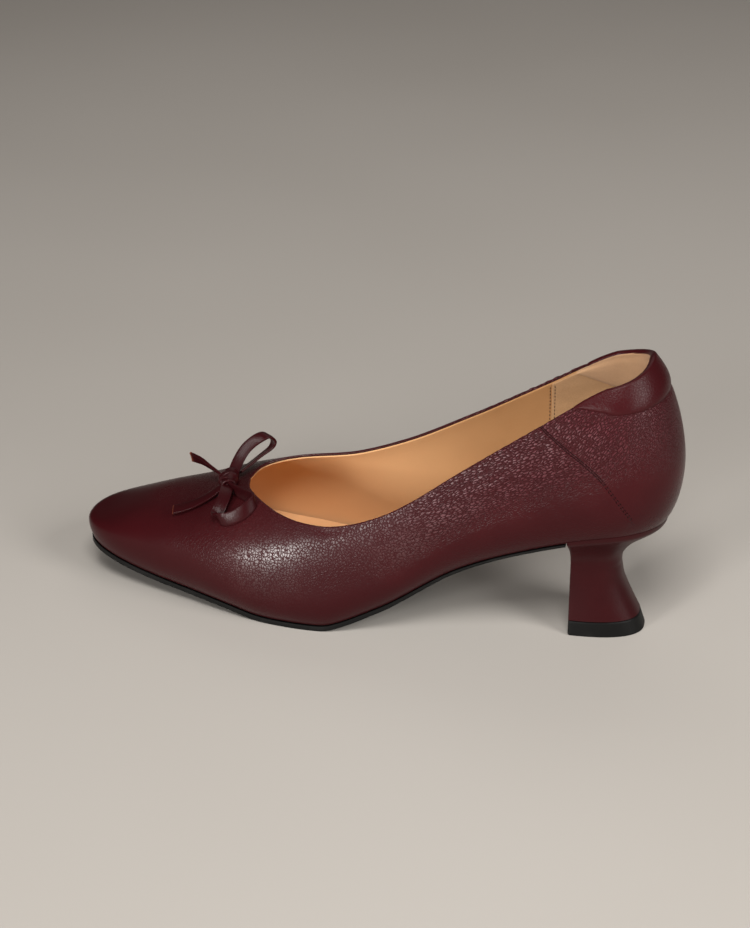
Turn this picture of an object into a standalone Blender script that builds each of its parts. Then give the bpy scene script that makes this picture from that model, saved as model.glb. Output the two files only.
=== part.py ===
"""Left shoe of a pair of block heel pumps with a narrow bow, as separate solids in metres, +Z up.

+X points to the toe and +Y to the outer side of the foot. The shoe stands on Z = 0, with the origin
under the middle of its box. Shapes are worked out from the back of the heel cup (X = 0) and the
empty named shoe_origin then moves them all to that origin.
"""

import math
from collections import namedtuple

import bmesh
import bpy
import numpy as np
from mathutils import Vector

# Driving sizes
LENGTH = 0.246          # back of the heel cup to the toe tip
BALL_WIDTH = 0.078      # widest breadth of the upper
HEEL_HEIGHT = 0.0525    # floor to the feather line at the back
BACK_HEIGHT = 0.117     # floor to the topline at the back
WALL = 0.0018           # leather and lining of the upper
SOLE = 0.0033           # outsole
INSOLE = 0.0020
LIFT = 0.0065           # top lift under the heel
GAP = 0.0003            # clearance between pieces that meet
MERGE = 0.000001        # points closer than this are one
SHARP_EDGE = math.radians(35.0)

# Ends of the last in plan: rounded caps ahead of TOE_CENTRE and behind HEEL_CENTRE
TOE_CENTRE = 0.837 * LENGTH
TOE_SQUARE = 2.3
HEEL_CENTRE = 0.122 * LENGTH
HEEL_SQUARE = 2.15
RIDGE_SWING = 0.070 * BALL_WIDTH    # how far the toe's ridge swings to the inner side
SWING_START = 0.30 * LENGTH
SWING_RUN = 0.57 * LENGTH

# Wall of the upper
FEATHER_LEAN = math.radians(65.0)   # how far the wall turns under at the feather line
BEND_SHARE = 0.25                   # share of the wall's height that lies below its widest line
WALL_ROWS = 12
FRONT_STEPS = 23                    # meridians from the toe tip to the waist, on each side
WAIST_STEPS = 9
SEAT_STEPS = 2
BACK_STEPS = 9
FINE_STEPS = 59                     # steps of the fine lines that lengths are measured along

# Outsole, insole and heel
SOLE_LIP = 0.0006                   # how far the outsole stands out past the feather line
SOLE_BEVEL = 0.0008
ROCKER = 0.0008                     # height over which the flat of the ball eases into its slopes
INSOLE_INSET = 1.25 * WALL
BREAST = 0.1707 * LENGTH            # front face of the heel
HEEL_SQUARE_STEM = 2.5

# Padded tab round the back of the collar
TAB_DEPTH = 0.0145
TAB_TIP_DEPTH = 0.0022
TAB_FULLNESS = 0.6                  # under 1 the crescent widens quickly from its tips
TAB_THICKNESS = 0.0013
TAB_ROWS = 5
TAB_STEPS = 11                      # meridians on each side of the back

# Bow
RIBBON_WIDTH = 0.0044
RIBBON_THICKNESS = 0.0013
KNOT_STATION = 0.746 * LENGTH
KNOT_ASIDE = 0.0025                 # how far the knot sits to the outer side of the ridge
KNOT_SIZE = Vector((0.0085, 0.0080, 0.0048))
KNOT_ROUNDING = 0.3 * KNOT_SIZE.z
KNOT_ROUNDING_STEPS = 3
SLOPE_STEP = 0.01 * LENGTH          # length over which the vamp's slope is taken under the knot
RIBBON_STEPS = 20

# One row for each section of the last: station is a share of LENGTH, half widths and tucks are shares
# of BALL_WIDTH, feather and rise are shares of HEEL_HEIGHT, crown is a share of BACK_HEIGHT
Section = namedtuple("Section", "station lateral medial feather crown square"
                     " tuck_lateral tuck_medial rise")
SECTIONS = (
    Section(0.000, 0.337, 0.340, 1.000, 1.094, 1.72, 0.071, 0.071, 0.400),
    Section(0.122, 0.367, 0.376, 0.958, 1.060, 2.00, 0.071, 0.071, 0.381),
    Section(0.224, 0.379, 0.385, 0.834, 0.953, 2.20, 0.074, 0.103, 0.343),
    Section(0.346, 0.397, 0.397, 0.600, 0.782, 2.30, 0.081, 0.128, 0.305),
    Section(0.467, 0.450, 0.427, 0.245, 0.629, 2.30, 0.069, 0.115, 0.267),
    Section(0.569, 0.496, 0.469, 0.056, 0.513, 2.35, 0.051, 0.064, 0.229),
    Section(0.650, 0.497, 0.498, 0.062, 0.449, 2.40, 0.056, 0.044, 0.210),
    Section(0.732, 0.456, 0.482, 0.118, 0.388, 2.50, 0.060, 0.046, 0.200),
    Section(0.813, 0.372, 0.424, 0.154, 0.3235, 2.60, 0.050, 0.044, 0.190),
    Section(0.894, 0.296, 0.372, 0.204, 0.2725, 2.70, 0.036, 0.034, 0.171),
    Section(1.000, 0.256, 0.350, 0.318, 0.2055, 2.70, 0.021, 0.026, 0.152),
)
SECTION_COLUMNS = Section(*np.array(SECTIONS).T)

# Topline from the throat back to the heel: the shares are of the half width at that station
Edge = namedtuple("Edge", "station lateral medial")
TOPLINE = (
    Edge(0.713, 0.00, 0.00),
    Edge(0.701, 0.28, 0.30),
    Edge(0.662, 0.56, 0.52),
    Edge(0.608, 0.74, 0.65),
    Edge(0.517, 0.85, 0.74),
    Edge(0.423, 0.88, 0.79),
    Edge(0.325, 0.85, 0.82),
    Edge(0.224, 0.79, 0.80),
    Edge(0.122, 0.66, 0.68),
)
EDGE_COLUMNS = Edge(*np.array(TOPLINE).T)
WAIST_ROW = 5                       # topline row where the meridians start to run straight across
BACK_SHARE = 0.53                   # the same share at the very back

# Flare of the heel under the seat: from the seat's outline (0) to the neck's (1)
Flare = namedtuple("Flare", "drop blend")
HEEL_FLARE = (Flare(0.00, 0.00), Flare(0.11, 0.05), Flare(0.24, 0.26), Flare(0.38, 0.51),
              Flare(0.58, 0.79), Flare(0.78, 0.96))

# Stem of the heel from its neck down: heights are shares of HEEL_HEIGHT, back and half_width of LENGTH
Stem = namedtuple("Stem", "height back half_width")
HEEL_STEM = (Stem(0.545, 0.0894, 0.0508), Stem(0.420, 0.0841, 0.0517), Stem(0.276, 0.0711, 0.0545))
LIFT_TOP = Stem(LIFT / HEEL_HEIGHT, 0.0553, 0.0585)
LIFT_FOOT = Stem(0.0, 0.0455, 0.0606)

# Routes of the ribbon in millimetres from the knot: ahead, to the outer side and above the vamp's face,
# with the way its width points
RouteRow = namedtuple("RouteRow", "ahead outward above")
Ribbon = namedtuple("Ribbon", "name route width_way")
RIBBONS = (
    Ribbon("bow_loop_lateral",
           (RouteRow(1.6, 5.5, 2.9), RouteRow(1.2, 10.5, 3.3), RouteRow(-0.6, 17.0, 3.3),
            RouteRow(-4.2, 22.4, 3.2), RouteRow(-10.0, 22.0, 3.2), RouteRow(-12.4, 15.5, 3.7),
            RouteRow(-8.0, 8.8, 4.2), RouteRow(-1.8, 5.5, 3.4)),
           Vector((0.10, 0.42, 0.90))),
    Ribbon("bow_loop_medial",
           (RouteRow(1.8, -6.2, 2.8), RouteRow(-0.6, -10.0, 7.2), RouteRow(-5.6, -14.5, 11.0),
            RouteRow(-10.6, -18.2, 11.4), RouteRow(-13.2, -19.6, 8.4), RouteRow(-10.8, -17.0, 5.2),
            RouteRow(-6.6, -11.8, 3.6), RouteRow(-2.2, -6.2, 2.8)),
           Vector((0.62, -0.62, -0.30))),
    Ribbon("bow_tail_lateral",
           (RouteRow(5.7, 3.0, 2.5), RouteRow(9.8, 6.8, 3.1), RouteRow(15.2, 10.4, 3.1),
            RouteRow(21.0, 13.6, 2.8)),
           Vector((-0.15, 0.75, 0.64))),
    Ribbon("bow_tail_medial",
           (RouteRow(6.0, -2.8, 3.0), RouteRow(9.8, -6.2, 5.4), RouteRow(15.2, -11.0, 8.2),
            RouteRow(21.2, -16.0, 10.6)),
           Vector((0.40, 0.72, -0.03))),
)

# Finish: colour, roughness
Finish = namedtuple("Finish", "name colour roughness")
LEATHER = Finish("burgundy_leather", (0.105, 0.011, 0.018, 1.0), 0.42)
HEEL_LEATHER = Finish("heel_leather", (0.105, 0.011, 0.018, 1.0), 0.36)
SOLE_RUBBER = Finish("black_rubber", (0.012, 0.012, 0.013, 1.0), 0.55)
SOCK_LEATHER = Finish("tan_sock", (0.42, 0.235, 0.115, 1.0), 0.60)

Meridian = namedtuple("Meridian", "outline inward edge tuck")


def smooth(share, shares, values):
    """Value of a smooth curve through a table's column."""
    slopes = np.gradient(values, shares)
    row = int(np.clip(np.searchsorted(shares, share) - 1, 0, len(shares) - 2))
    span = shares[row + 1] - shares[row]
    t = min(max((share - shares[row]) / span, 0.0), 1.0)
    rest = 1.0 - t
    return (values[row] * (1 + 2 * t) * rest * rest + slopes[row] * span * t * rest * rest
            + values[row + 1] * (3 - 2 * t) * t * t - slopes[row + 1] * span * t * t * rest)


def section(column, x):
    """One column of the section table at X."""
    return float(smooth(x / LENGTH, SECTION_COLUMNS.station, getattr(SECTION_COLUMNS, column)))


def ridge(x):
    """Y of the last's ridge at X: straight at the heel, then swung to the inner side."""
    share = min(max((x - SWING_START) / SWING_RUN, 0.0), 1.0)
    return -RIDGE_SWING * share * share * (3.0 - 2.0 * share)


def half_width(side, x):
    """Half width of the last at X on one side, before the end caps round it off."""
    return BALL_WIDTH * section("lateral" if side > 0 else "medial", x)


def end_caps(x):
    """How far X lies into the toe cap and into the heel cap, from 0 to 1."""
    ahead = max(0.0, (x - TOE_CENTRE) / (LENGTH - TOE_CENTRE))
    behind = max(0.0, (HEEL_CENTRE - x) / HEEL_CENTRE)
    return ahead, behind


def gauge(x, y):
    """0 on the ridge and 1 on the last's widest outline."""
    ahead, behind = end_caps(x)
    power = TOE_SQUARE if ahead > 0.0 else HEEL_SQUARE
    across = abs(y - ridge(x)) / half_width(y - ridge(x), x)
    return (across ** power + ahead ** power + behind ** power) ** (1.0 / power)


def feather_height(x):
    """Height of the feather line at X: level under the ball, where the outsole lies flat on the floor."""
    climb = HEEL_HEIGHT * section("feather", x) - SOLE - GAP
    if abs(climb) < ROCKER:
        climb = (climb + ROCKER) ** 2 / (4.0 * ROCKER)
    return SOLE + GAP + max(0.0, climb)


def widest_height(x):
    """Height of the last's widest line at X."""
    return feather_height(x) + HEEL_HEIGHT * section("rise", x)


def last_height(x, y):
    """Height of the last above its widest line."""
    low = widest_height(x)
    power = section("square", x)
    fall = max(0.0, 1.0 - gauge(x, y) ** power) ** (1.0 / power)
    return low + (BACK_HEIGHT * section("crown", x) - low) * fall


def toe_point(side, angle):
    """Outline point in the toe cap: angle 0 is the tip, a right angle is the cap's start."""
    x = TOE_CENTRE + (LENGTH - TOE_CENTRE) * math.cos(angle) ** (2.0 / TOE_SQUARE)
    return side_point(side, x, math.sin(angle) ** (2.0 / TOE_SQUARE))


def heel_point(side, angle):
    """Outline point in the heel cap: angle 0 is the cap's start, a right angle is the back."""
    x = HEEL_CENTRE * (1.0 - math.sin(angle) ** (2.0 / HEEL_SQUARE))
    return side_point(side, x, max(0.0, math.cos(angle)) ** (2.0 / HEEL_SQUARE))


def side_point(side, x, share=1.0):
    """Point between the caps, at a share of the half width from the ridge."""
    return Vector((x, ridge(x) + side * share * half_width(side, x)))


def edge_share(side, x):
    """Topline's share of the half width at X."""
    shares = EDGE_COLUMNS.lateral if side > 0 else EDGE_COLUMNS.medial
    return float(smooth(x / LENGTH, EDGE_COLUMNS.station[::-1], shares[::-1]))


def throat_point(side, row):
    """Topline point in plan at a row of the table, counted from the throat."""
    rows = np.arange(len(TOPLINE), dtype=float)
    shares = EDGE_COLUMNS.lateral if side > 0 else EDGE_COLUMNS.medial
    station = float(smooth(row, rows, EDGE_COLUMNS.station))
    return side_point(side, LENGTH * station, float(smooth(row, rows, shares)))


def evenly(points, steps):
    """The points of a polyline at equal steps along it."""
    points = np.array([tuple(point) for point in points])
    along = np.concatenate(([0.0], np.cumsum(np.linalg.norm(np.diff(points, axis=0), axis=1))))
    places = np.linspace(0.0, along[-1], steps + 1)
    return [Vector(np.interp(place, along, axis) for axis in points.T) for place in places]


def meridians(side, outlines, edges):
    """Strips of the upper's wall in plan, from its widest outline to its topline."""
    strips = []
    for step, (outline, edge) in enumerate(zip(outlines, edges)):
        along = outlines[min(step + 1, len(outlines) - 1)] - outlines[max(step - 1, 0)]
        inward = Vector((-along.y, along.x)).normalized() * side
        if step in (0, len(outlines) - 1):
            inward = Vector((-1.0 if step == 0 else 1.0, 0.0))
        tuck = BALL_WIDTH * section("tuck_lateral" if side > 0 else "tuck_medial", outline.x)
        strips.append(Meridian(outline, inward, edge, tuck))
    return strips


def half_loop(side):
    """Meridians of one side, from the toe tip round to the back."""
    waist = LENGTH * TOPLINE[WAIST_ROW].station
    dense = [toe_point(side, angle) for angle in np.linspace(0.0, math.pi / 2.0, FINE_STEPS + 1)]
    dense += [side_point(side, x) for x in np.linspace(TOE_CENTRE, waist, FINE_STEPS + 1)[1:]]
    outlines = evenly(dense, FRONT_STEPS)
    edges = [throat_point(side, WAIST_ROW * step / FRONT_STEPS) for step in range(FRONT_STEPS + 1)]
    stations = list(np.linspace(waist, BREAST, WAIST_STEPS + 1)[1:])
    stations += list(np.linspace(BREAST, HEEL_CENTRE, SEAT_STEPS + 1)[1:])
    outlines += [side_point(side, x) for x in stations]
    edges += [side_point(side, x, edge_share(side, x)) for x in stations]
    centre = side_point(side, HEEL_CENTRE, 0.0)
    start_share = edge_share(side, HEEL_CENTRE)
    for step in range(1, BACK_STEPS + 1):
        turn = step / BACK_STEPS
        share = start_share + (BACK_SHARE - start_share) * turn * turn * (3.0 - 2.0 * turn)
        outlines.append(heel_point(side, turn * math.pi / 2.0))
        edges.append(centre.lerp(outlines[-1], share))
    return meridians(side, outlines, edges)


LATERAL = half_loop(1.0)
MEDIAL = half_loop(-1.0)
BREAST_STEP = FRONT_STEPS + WAIST_STEPS
BACK_STEP = len(LATERAL) - 1
LATERAL_REACH = max(strip.outline.y for strip in LATERAL)
MEDIAL_REACH = min(strip.outline.y for strip in MEDIAL)
SIDE_MIDDLE = (LATERAL_REACH + MEDIAL_REACH) / 2.0


def wall_point(strip, share):
    """Point of the upper's outer face on a meridian, from the feather line (0) to the topline (1)."""
    if share < BEND_SHARE:
        lean = FEATHER_LEAN * (1.0 - share / BEND_SHARE)
        turned = (1.0 - math.cos(lean)) / (1.0 - math.cos(FEATHER_LEAN))
        plan = strip.outline + strip.inward * (strip.tuck * turned)
        drop = HEEL_HEIGHT * section("rise", plan.x) * math.sin(lean) / math.sin(FEATHER_LEAN)
        return Vector((plan.x, plan.y, widest_height(plan.x) - drop))
    power = section("square", strip.outline.x)
    end = gauge(*strip.edge)
    angle = math.acos(end ** (power / 2.0)) * (share - BEND_SHARE) / (1.0 - BEND_SHARE)
    reach = (1.0 - math.cos(angle) ** (2.0 / power)) / (1.0 - end)
    plan = strip.outline.lerp(strip.edge, reach)
    return Vector((plan.x, plan.y, last_height(*plan)))


def material(finish):
    """The Principled material of a finish, made once."""
    found = bpy.data.materials.get(finish.name)
    if found is None:
        found = bpy.data.materials.new(finish.name)
        found.use_nodes = True
        shader = found.node_tree.nodes["Principled BSDF"]
        shader.inputs["Base Color"].default_value = finish.colour
        shader.inputs["Roughness"].default_value = finish.roughness
        shader.inputs["Metallic"].default_value = 0.0
    return found


def add_object(name, bm, finish):
    """Link a bmesh as a named, smooth-shaded object under the shoe's origin."""
    mesh = bpy.data.meshes.new(name)
    bm.to_mesh(mesh)
    bm.free()
    mesh.shade_smooth()
    mesh.set_sharp_from_angle(angle=SHARP_EDGE)
    mesh.materials.append(material(finish))
    piece = bpy.data.objects.new(name, mesh)
    bpy.data.collections["block_heel_shoe"].objects.link(piece)
    piece.parent = bpy.data.objects["shoe_origin"]
    return piece


def mapped_grid(columns):
    """A grid whose columns of vertices lie on the given columns of points."""
    bm = bmesh.new()
    steps, rows = len(columns) - 1, len(columns[0]) - 1
    bmesh.ops.create_grid(bm, x_segments=steps, y_segments=rows, size=1.0)
    for vertex in bm.verts:
        column = columns[round((vertex.co.x + 1.0) / 2.0 * steps)]
        vertex.co = column[round((vertex.co.y + 1.0) / 2.0 * rows)]
    return bm


def thicken(piece, thickness, offset):
    """Give an open surface its wall: offset -1 goes inwards and 1 outwards."""
    wall = piece.modifiers.new("wall", "SOLIDIFY")
    wall.thickness = thickness
    wall.offset = offset
    wall.use_even_offset = True


def stacked(name, rings, finish):
    """Loft a stack of open-backed rings, each closed across from its first half to its second."""
    bm = bmesh.new()
    loops = [[bm.verts.new(point) for point in ring] for ring in rings]
    count = len(loops[0])
    for lower, upper in zip(loops, loops[1:]):
        for step in range(count):
            after = (step + 1) % count
            bm.faces.new((lower[step], lower[after], upper[after], upper[step]))
    for loop in (loops[0], loops[-1]):
        for step in range((count - 1) // 2):
            rung = (loop[step], loop[step + 1], loop[count - 2 - step], loop[count - 1 - step])
            bm.faces.new(rung if step + 1 != count - 2 - step else (rung[0], rung[1], rung[3]))
    bmesh.ops.recalc_face_normals(bm, faces=bm.faces)
    return add_object(name, bm, finish)


def feather_ring(strips, outward, drop):
    """The feather line of some meridians, moved out and down."""
    ring = []
    for strip in strips:
        plan = wall_point(strip, 0.0).xy - strip.inward * outward
        ring.append(Vector((plan.x, plan.y, feather_height(plan.x) - drop)))
    return ring


def make_upper():
    """The hollow upper: one leather wall on the last, open at the collar and underneath."""
    strips = LATERAL + MEDIAL[-2::-1]
    shares = [row / WALL_ROWS for row in range(WALL_ROWS + 1)]
    bm = mapped_grid([[wall_point(strip, share) for share in shares] for strip in strips])
    bmesh.ops.remove_doubles(bm, verts=bm.verts, dist=MERGE)
    thicken(add_object("upper", bm, LEATHER), WALL, -1.0)


def make_outsole():
    """The thin sole from the toe to the heel breast, flat on the floor under the ball."""
    strips = LATERAL[BREAST_STEP:0:-1] + MEDIAL[:BREAST_STEP + 1]
    bottom = GAP + SOLE
    levels = ((SOLE_LIP, GAP), (SOLE_LIP, bottom - SOLE_BEVEL), (SOLE_LIP - SOLE_BEVEL, bottom))
    stacked("outsole", [feather_ring(strips, outward, drop) for outward, drop in levels], SOLE_RUBBER)


def make_insole():
    """The sock that lies inside on the outsole and the heel seat."""
    strips = LATERAL[BACK_STEP - 1:0:-1] + MEDIAL[:BACK_STEP]
    levels = (-GAP / 2.0, -GAP / 2.0 - INSOLE)
    stacked("insole", [feather_ring(strips, -INSOLE_INSET, drop) for drop in levels], SOCK_LEATHER)


def stem_ring(row, angles):
    """One level D-section of the heel: flat at the breast and rounded at the back."""
    front = BREAST - GAP
    ring = []
    for side, angle in angles:
        x = front - (front - LENGTH * row.back) * math.sin(angle) ** (2.0 / HEEL_SQUARE_STEM)
        y = side * LENGTH * row.half_width * max(0.0, math.cos(angle)) ** (2.0 / HEEL_SQUARE_STEM)
        ring.append(Vector((x, y, HEEL_HEIGHT * row.height)))
    return ring


def make_heel():
    """The block heel, flared out to the seat, with the top lift under it."""
    strips = LATERAL[BREAST_STEP:] + MEDIAL[BACK_STEP - 1:BREAST_STEP - 1:-1]
    seat = feather_ring(strips, 0.0, GAP)
    seat[0].x = seat[-1].x = BREAST - GAP
    front = seat[0].x
    depth = front - min(point.x for point in seat)
    breadth = abs(seat[0].y)
    angles = []
    for point in seat:
        angle = math.atan2((front - point.x) / depth, abs(point.y) / breadth)
        angles.append((math.copysign(1.0, point.y), angle))
    neck = stem_ring(HEEL_STEM[0], angles)
    rings = []
    for flare in HEEL_FLARE:
        ring = []
        for top, low in zip(seat, neck):
            plan = top.xy.lerp(low.xy, flare.blend)
            ring.append(Vector((plan.x, plan.y, top.z + (low.z - top.z) * flare.drop)))
        rings.append(ring)
    rings += [stem_ring(row, angles) for row in HEEL_STEM]
    rings.append(stem_ring(LIFT_TOP._replace(height=(LIFT + GAP) / HEEL_HEIGHT), angles))
    stacked("heel", rings, HEEL_LEATHER)
    stacked("top_lift", [stem_ring(LIFT_TOP, angles), stem_ring(LIFT_FOOT, angles)], SOLE_RUBBER)


def share_below_edge(strip, depth):
    """Share of a meridian that lies a given length of wall below the topline."""
    shares = np.linspace(1.0, BEND_SHARE, FINE_STEPS + 1)
    points = np.array([tuple(wall_point(strip, share)) for share in shares])
    along = np.concatenate(([0.0], np.cumsum(np.linalg.norm(np.diff(points, axis=0), axis=1))))
    return float(np.interp(depth, along, shares))


def make_heel_tab():
    """The crescent panel round the back of the collar, laid on the upper's own face."""
    first = BACK_STEP - TAB_STEPS
    strips = LATERAL[first:] + MEDIAL[BACK_STEP - 1:first - 1:-1]
    columns = []
    for step, strip in enumerate(strips):
        turn = 1.0 - abs(step - TAB_STEPS) / TAB_STEPS
        fullness = math.sin(turn * math.pi / 2.0) ** TAB_FULLNESS
        low = share_below_edge(strip, TAB_TIP_DEPTH + (TAB_DEPTH - TAB_TIP_DEPTH) * fullness)
        shares = [low + (1.0 - low) * row / TAB_ROWS for row in range(TAB_ROWS + 1)]
        columns.append([wall_point(strip, share) for share in shares])
    bm = mapped_grid(columns)
    bm.normal_update()
    for vertex in bm.verts:
        vertex.co += vertex.normal * GAP
    thicken(add_object("heel_tab", bm, LEATHER), TAB_THICKNESS, 1.0)


def vamp_point(x, y, above):
    """Point at a height above the vamp's face."""
    return Vector((x, y, last_height(x, y) + above))


def bow_frame():
    """Where the knot sits on the vamp, and the ways ahead along its slope, to the outer side and off it."""
    y = ridge(KNOT_STATION) + KNOT_ASIDE
    base = vamp_point(KNOT_STATION, y, 0.0)
    ahead = (vamp_point(KNOT_STATION + SLOPE_STEP, y, 0.0) - base).normalized()
    off = ahead.cross(vamp_point(KNOT_STATION, y + SLOPE_STEP, 0.0) - base).normalized()
    return base, ahead, off.cross(ahead), off


def route_points(ribbon, base):
    """A ribbon's middle line: a smooth curve through its route."""
    rows = np.array(ribbon.route) / 1000.0
    steps = np.arange(len(rows), dtype=float)
    points = []
    for place in np.linspace(0.0, steps[-1], RIBBON_STEPS + 1):
        ahead, outward, above = (float(smooth(place, steps, column)) for column in rows.T)
        points.append(vamp_point(base.x + ahead, base.y + outward, above))
    return points


def make_ribbon(ribbon, frame):
    """Sweep the ribbon's flat section along its route."""
    base, ahead, outward, off = frame
    points = route_points(ribbon, base)
    width = ribbon.width_way
    across = ahead * width.x + outward * width.y + off * width.z
    columns = []
    for step, point in enumerate(points):
        tangent = points[min(step + 1, RIBBON_STEPS)] - points[max(step - 1, 0)]
        way = (across - tangent * (across.dot(tangent) / tangent.length_squared)).normalized()
        columns.append([point + way * (RIBBON_WIDTH * share) for share in (-0.5, 0.0, 0.5)])
    thicken(add_object(ribbon.name, mapped_grid(columns), LEATHER), RIBBON_THICKNESS, 0.0)


def make_bow():
    """The knot on the vamp, with two loops and two tails of ribbon round it."""
    frame = bow_frame()
    base, ahead, outward, off = frame
    bm = bmesh.new()
    bmesh.ops.create_cube(bm, size=1.0)
    centre = base + off * (GAP + KNOT_SIZE.z / 2.0)
    for vertex in bm.verts:
        size = KNOT_SIZE * vertex.co
        vertex.co = centre + ahead * size.x + outward * size.y + off * size.z
    knot = add_object("bow_knot", bm, LEATHER)
    rounding = knot.modifiers.new("rounding", "BEVEL")
    rounding.width = KNOT_ROUNDING
    rounding.segments = KNOT_ROUNDING_STEPS
    for ribbon in RIBBONS:
        make_ribbon(ribbon, frame)


def clear_scene():
    """Start from an empty scene, with the shoe's collection and origin."""
    for item in list(bpy.data.objects):
        bpy.data.objects.remove(item, do_unlink=True)
    collection = bpy.data.collections.new("block_heel_shoe")
    bpy.context.scene.collection.children.link(collection)
    origin = bpy.data.objects.new("shoe_origin", None)
    origin.location = (-LENGTH / 2.0, -SIDE_MIDDLE, 0.0)
    collection.objects.link(origin)


def main():
    """Make every piece of the shoe."""
    clear_scene()
    make_upper()
    make_outsole()
    make_insole()
    make_heel()
    make_heel_tab()
    make_bow()


main()
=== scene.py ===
"""Looks of a left block heel pump: grained leather, lining, padded collar, bow, sole and heel.

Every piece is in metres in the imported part's frame: +X to the toe, +Y to the outer side, +Z up. The last's
surface is worked out from the same sections as the solids, so each piece lies where its solid does.
"""

import logging
import math
from dataclasses import dataclass, field
from enum import Enum
from typing import NamedTuple

import bpy
import numpy as np
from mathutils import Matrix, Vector


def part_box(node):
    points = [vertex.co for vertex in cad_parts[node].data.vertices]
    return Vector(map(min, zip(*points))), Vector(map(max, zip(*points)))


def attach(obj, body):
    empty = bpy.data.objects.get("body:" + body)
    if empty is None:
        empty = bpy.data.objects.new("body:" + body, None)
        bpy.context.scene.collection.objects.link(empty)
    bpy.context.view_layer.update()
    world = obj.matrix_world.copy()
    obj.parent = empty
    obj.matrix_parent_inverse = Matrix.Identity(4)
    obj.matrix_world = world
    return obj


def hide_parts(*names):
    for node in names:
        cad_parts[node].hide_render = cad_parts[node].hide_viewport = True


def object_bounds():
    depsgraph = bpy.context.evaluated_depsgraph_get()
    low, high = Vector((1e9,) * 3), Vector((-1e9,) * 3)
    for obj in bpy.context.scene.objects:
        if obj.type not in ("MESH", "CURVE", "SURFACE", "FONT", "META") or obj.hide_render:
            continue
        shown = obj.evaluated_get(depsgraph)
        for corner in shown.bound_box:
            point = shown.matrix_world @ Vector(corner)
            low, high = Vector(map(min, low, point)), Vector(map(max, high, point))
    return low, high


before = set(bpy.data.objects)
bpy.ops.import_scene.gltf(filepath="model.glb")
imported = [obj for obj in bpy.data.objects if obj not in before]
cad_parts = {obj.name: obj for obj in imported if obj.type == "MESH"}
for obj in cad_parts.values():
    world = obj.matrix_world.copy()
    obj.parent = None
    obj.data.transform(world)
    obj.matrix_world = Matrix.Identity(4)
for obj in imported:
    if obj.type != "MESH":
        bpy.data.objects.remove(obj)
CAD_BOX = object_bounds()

LOG = logging.getLogger("block_heel_shoe")
BODY = "root"
MM = 0.001
MERGE = 1.0e-6
SOFT_ANGLE = 60.0
Array = np.ndarray
Colour = tuple[float, float, float, float]
Material = bpy.types.Material
Piece = bpy.types.Object


class Side(Enum):
    """Sides of the foot, as the sign of Y."""

    LATERAL = 1.0
    MEDIAL = -1.0


class Slot(Enum):
    """Material slots of the part's record."""

    UPPER = "upper_leather"
    BOW = "bow_leather"
    HEEL = "heel_leather"
    SOCK = "sock_leather"
    SOLE = "sole_rubber"


@dataclass(frozen=True)
class Signal:
    """A shader socket that takes part in Python arithmetic."""

    recipe: "Recipe"
    socket: bpy.types.NodeSocket

    def _math(self, operation: str, first: "Signal | float", second: "Signal | float") -> "Signal":
        """Add one Math node for an operation."""
        return self.recipe.node("ShaderNodeMath", {"operation": operation}, {0: first, 1: second})

    def __add__(self, other: "Signal | float") -> "Signal":
        """self + other"""
        return self._math("ADD", self, other)

    def __radd__(self, other: float) -> "Signal":
        """other + self"""
        return self._math("ADD", other, self)

    def __sub__(self, other: "Signal | float") -> "Signal":
        """self - other"""
        return self._math("SUBTRACT", self, other)

    def __rsub__(self, other: float) -> "Signal":
        """other - self"""
        return self._math("SUBTRACT", other, self)

    def __mul__(self, other: "Signal | float") -> "Signal":
        """self * other"""
        return self._math("MULTIPLY", self, other)

    def __rmul__(self, other: float) -> "Signal":
        """other * self"""
        return self._math("MULTIPLY", other, self)

    def __abs__(self) -> "Signal":
        """abs(self)"""
        return self.recipe.node("ShaderNodeMath", {"operation": "ABSOLUTE"}, {0: self})


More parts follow.
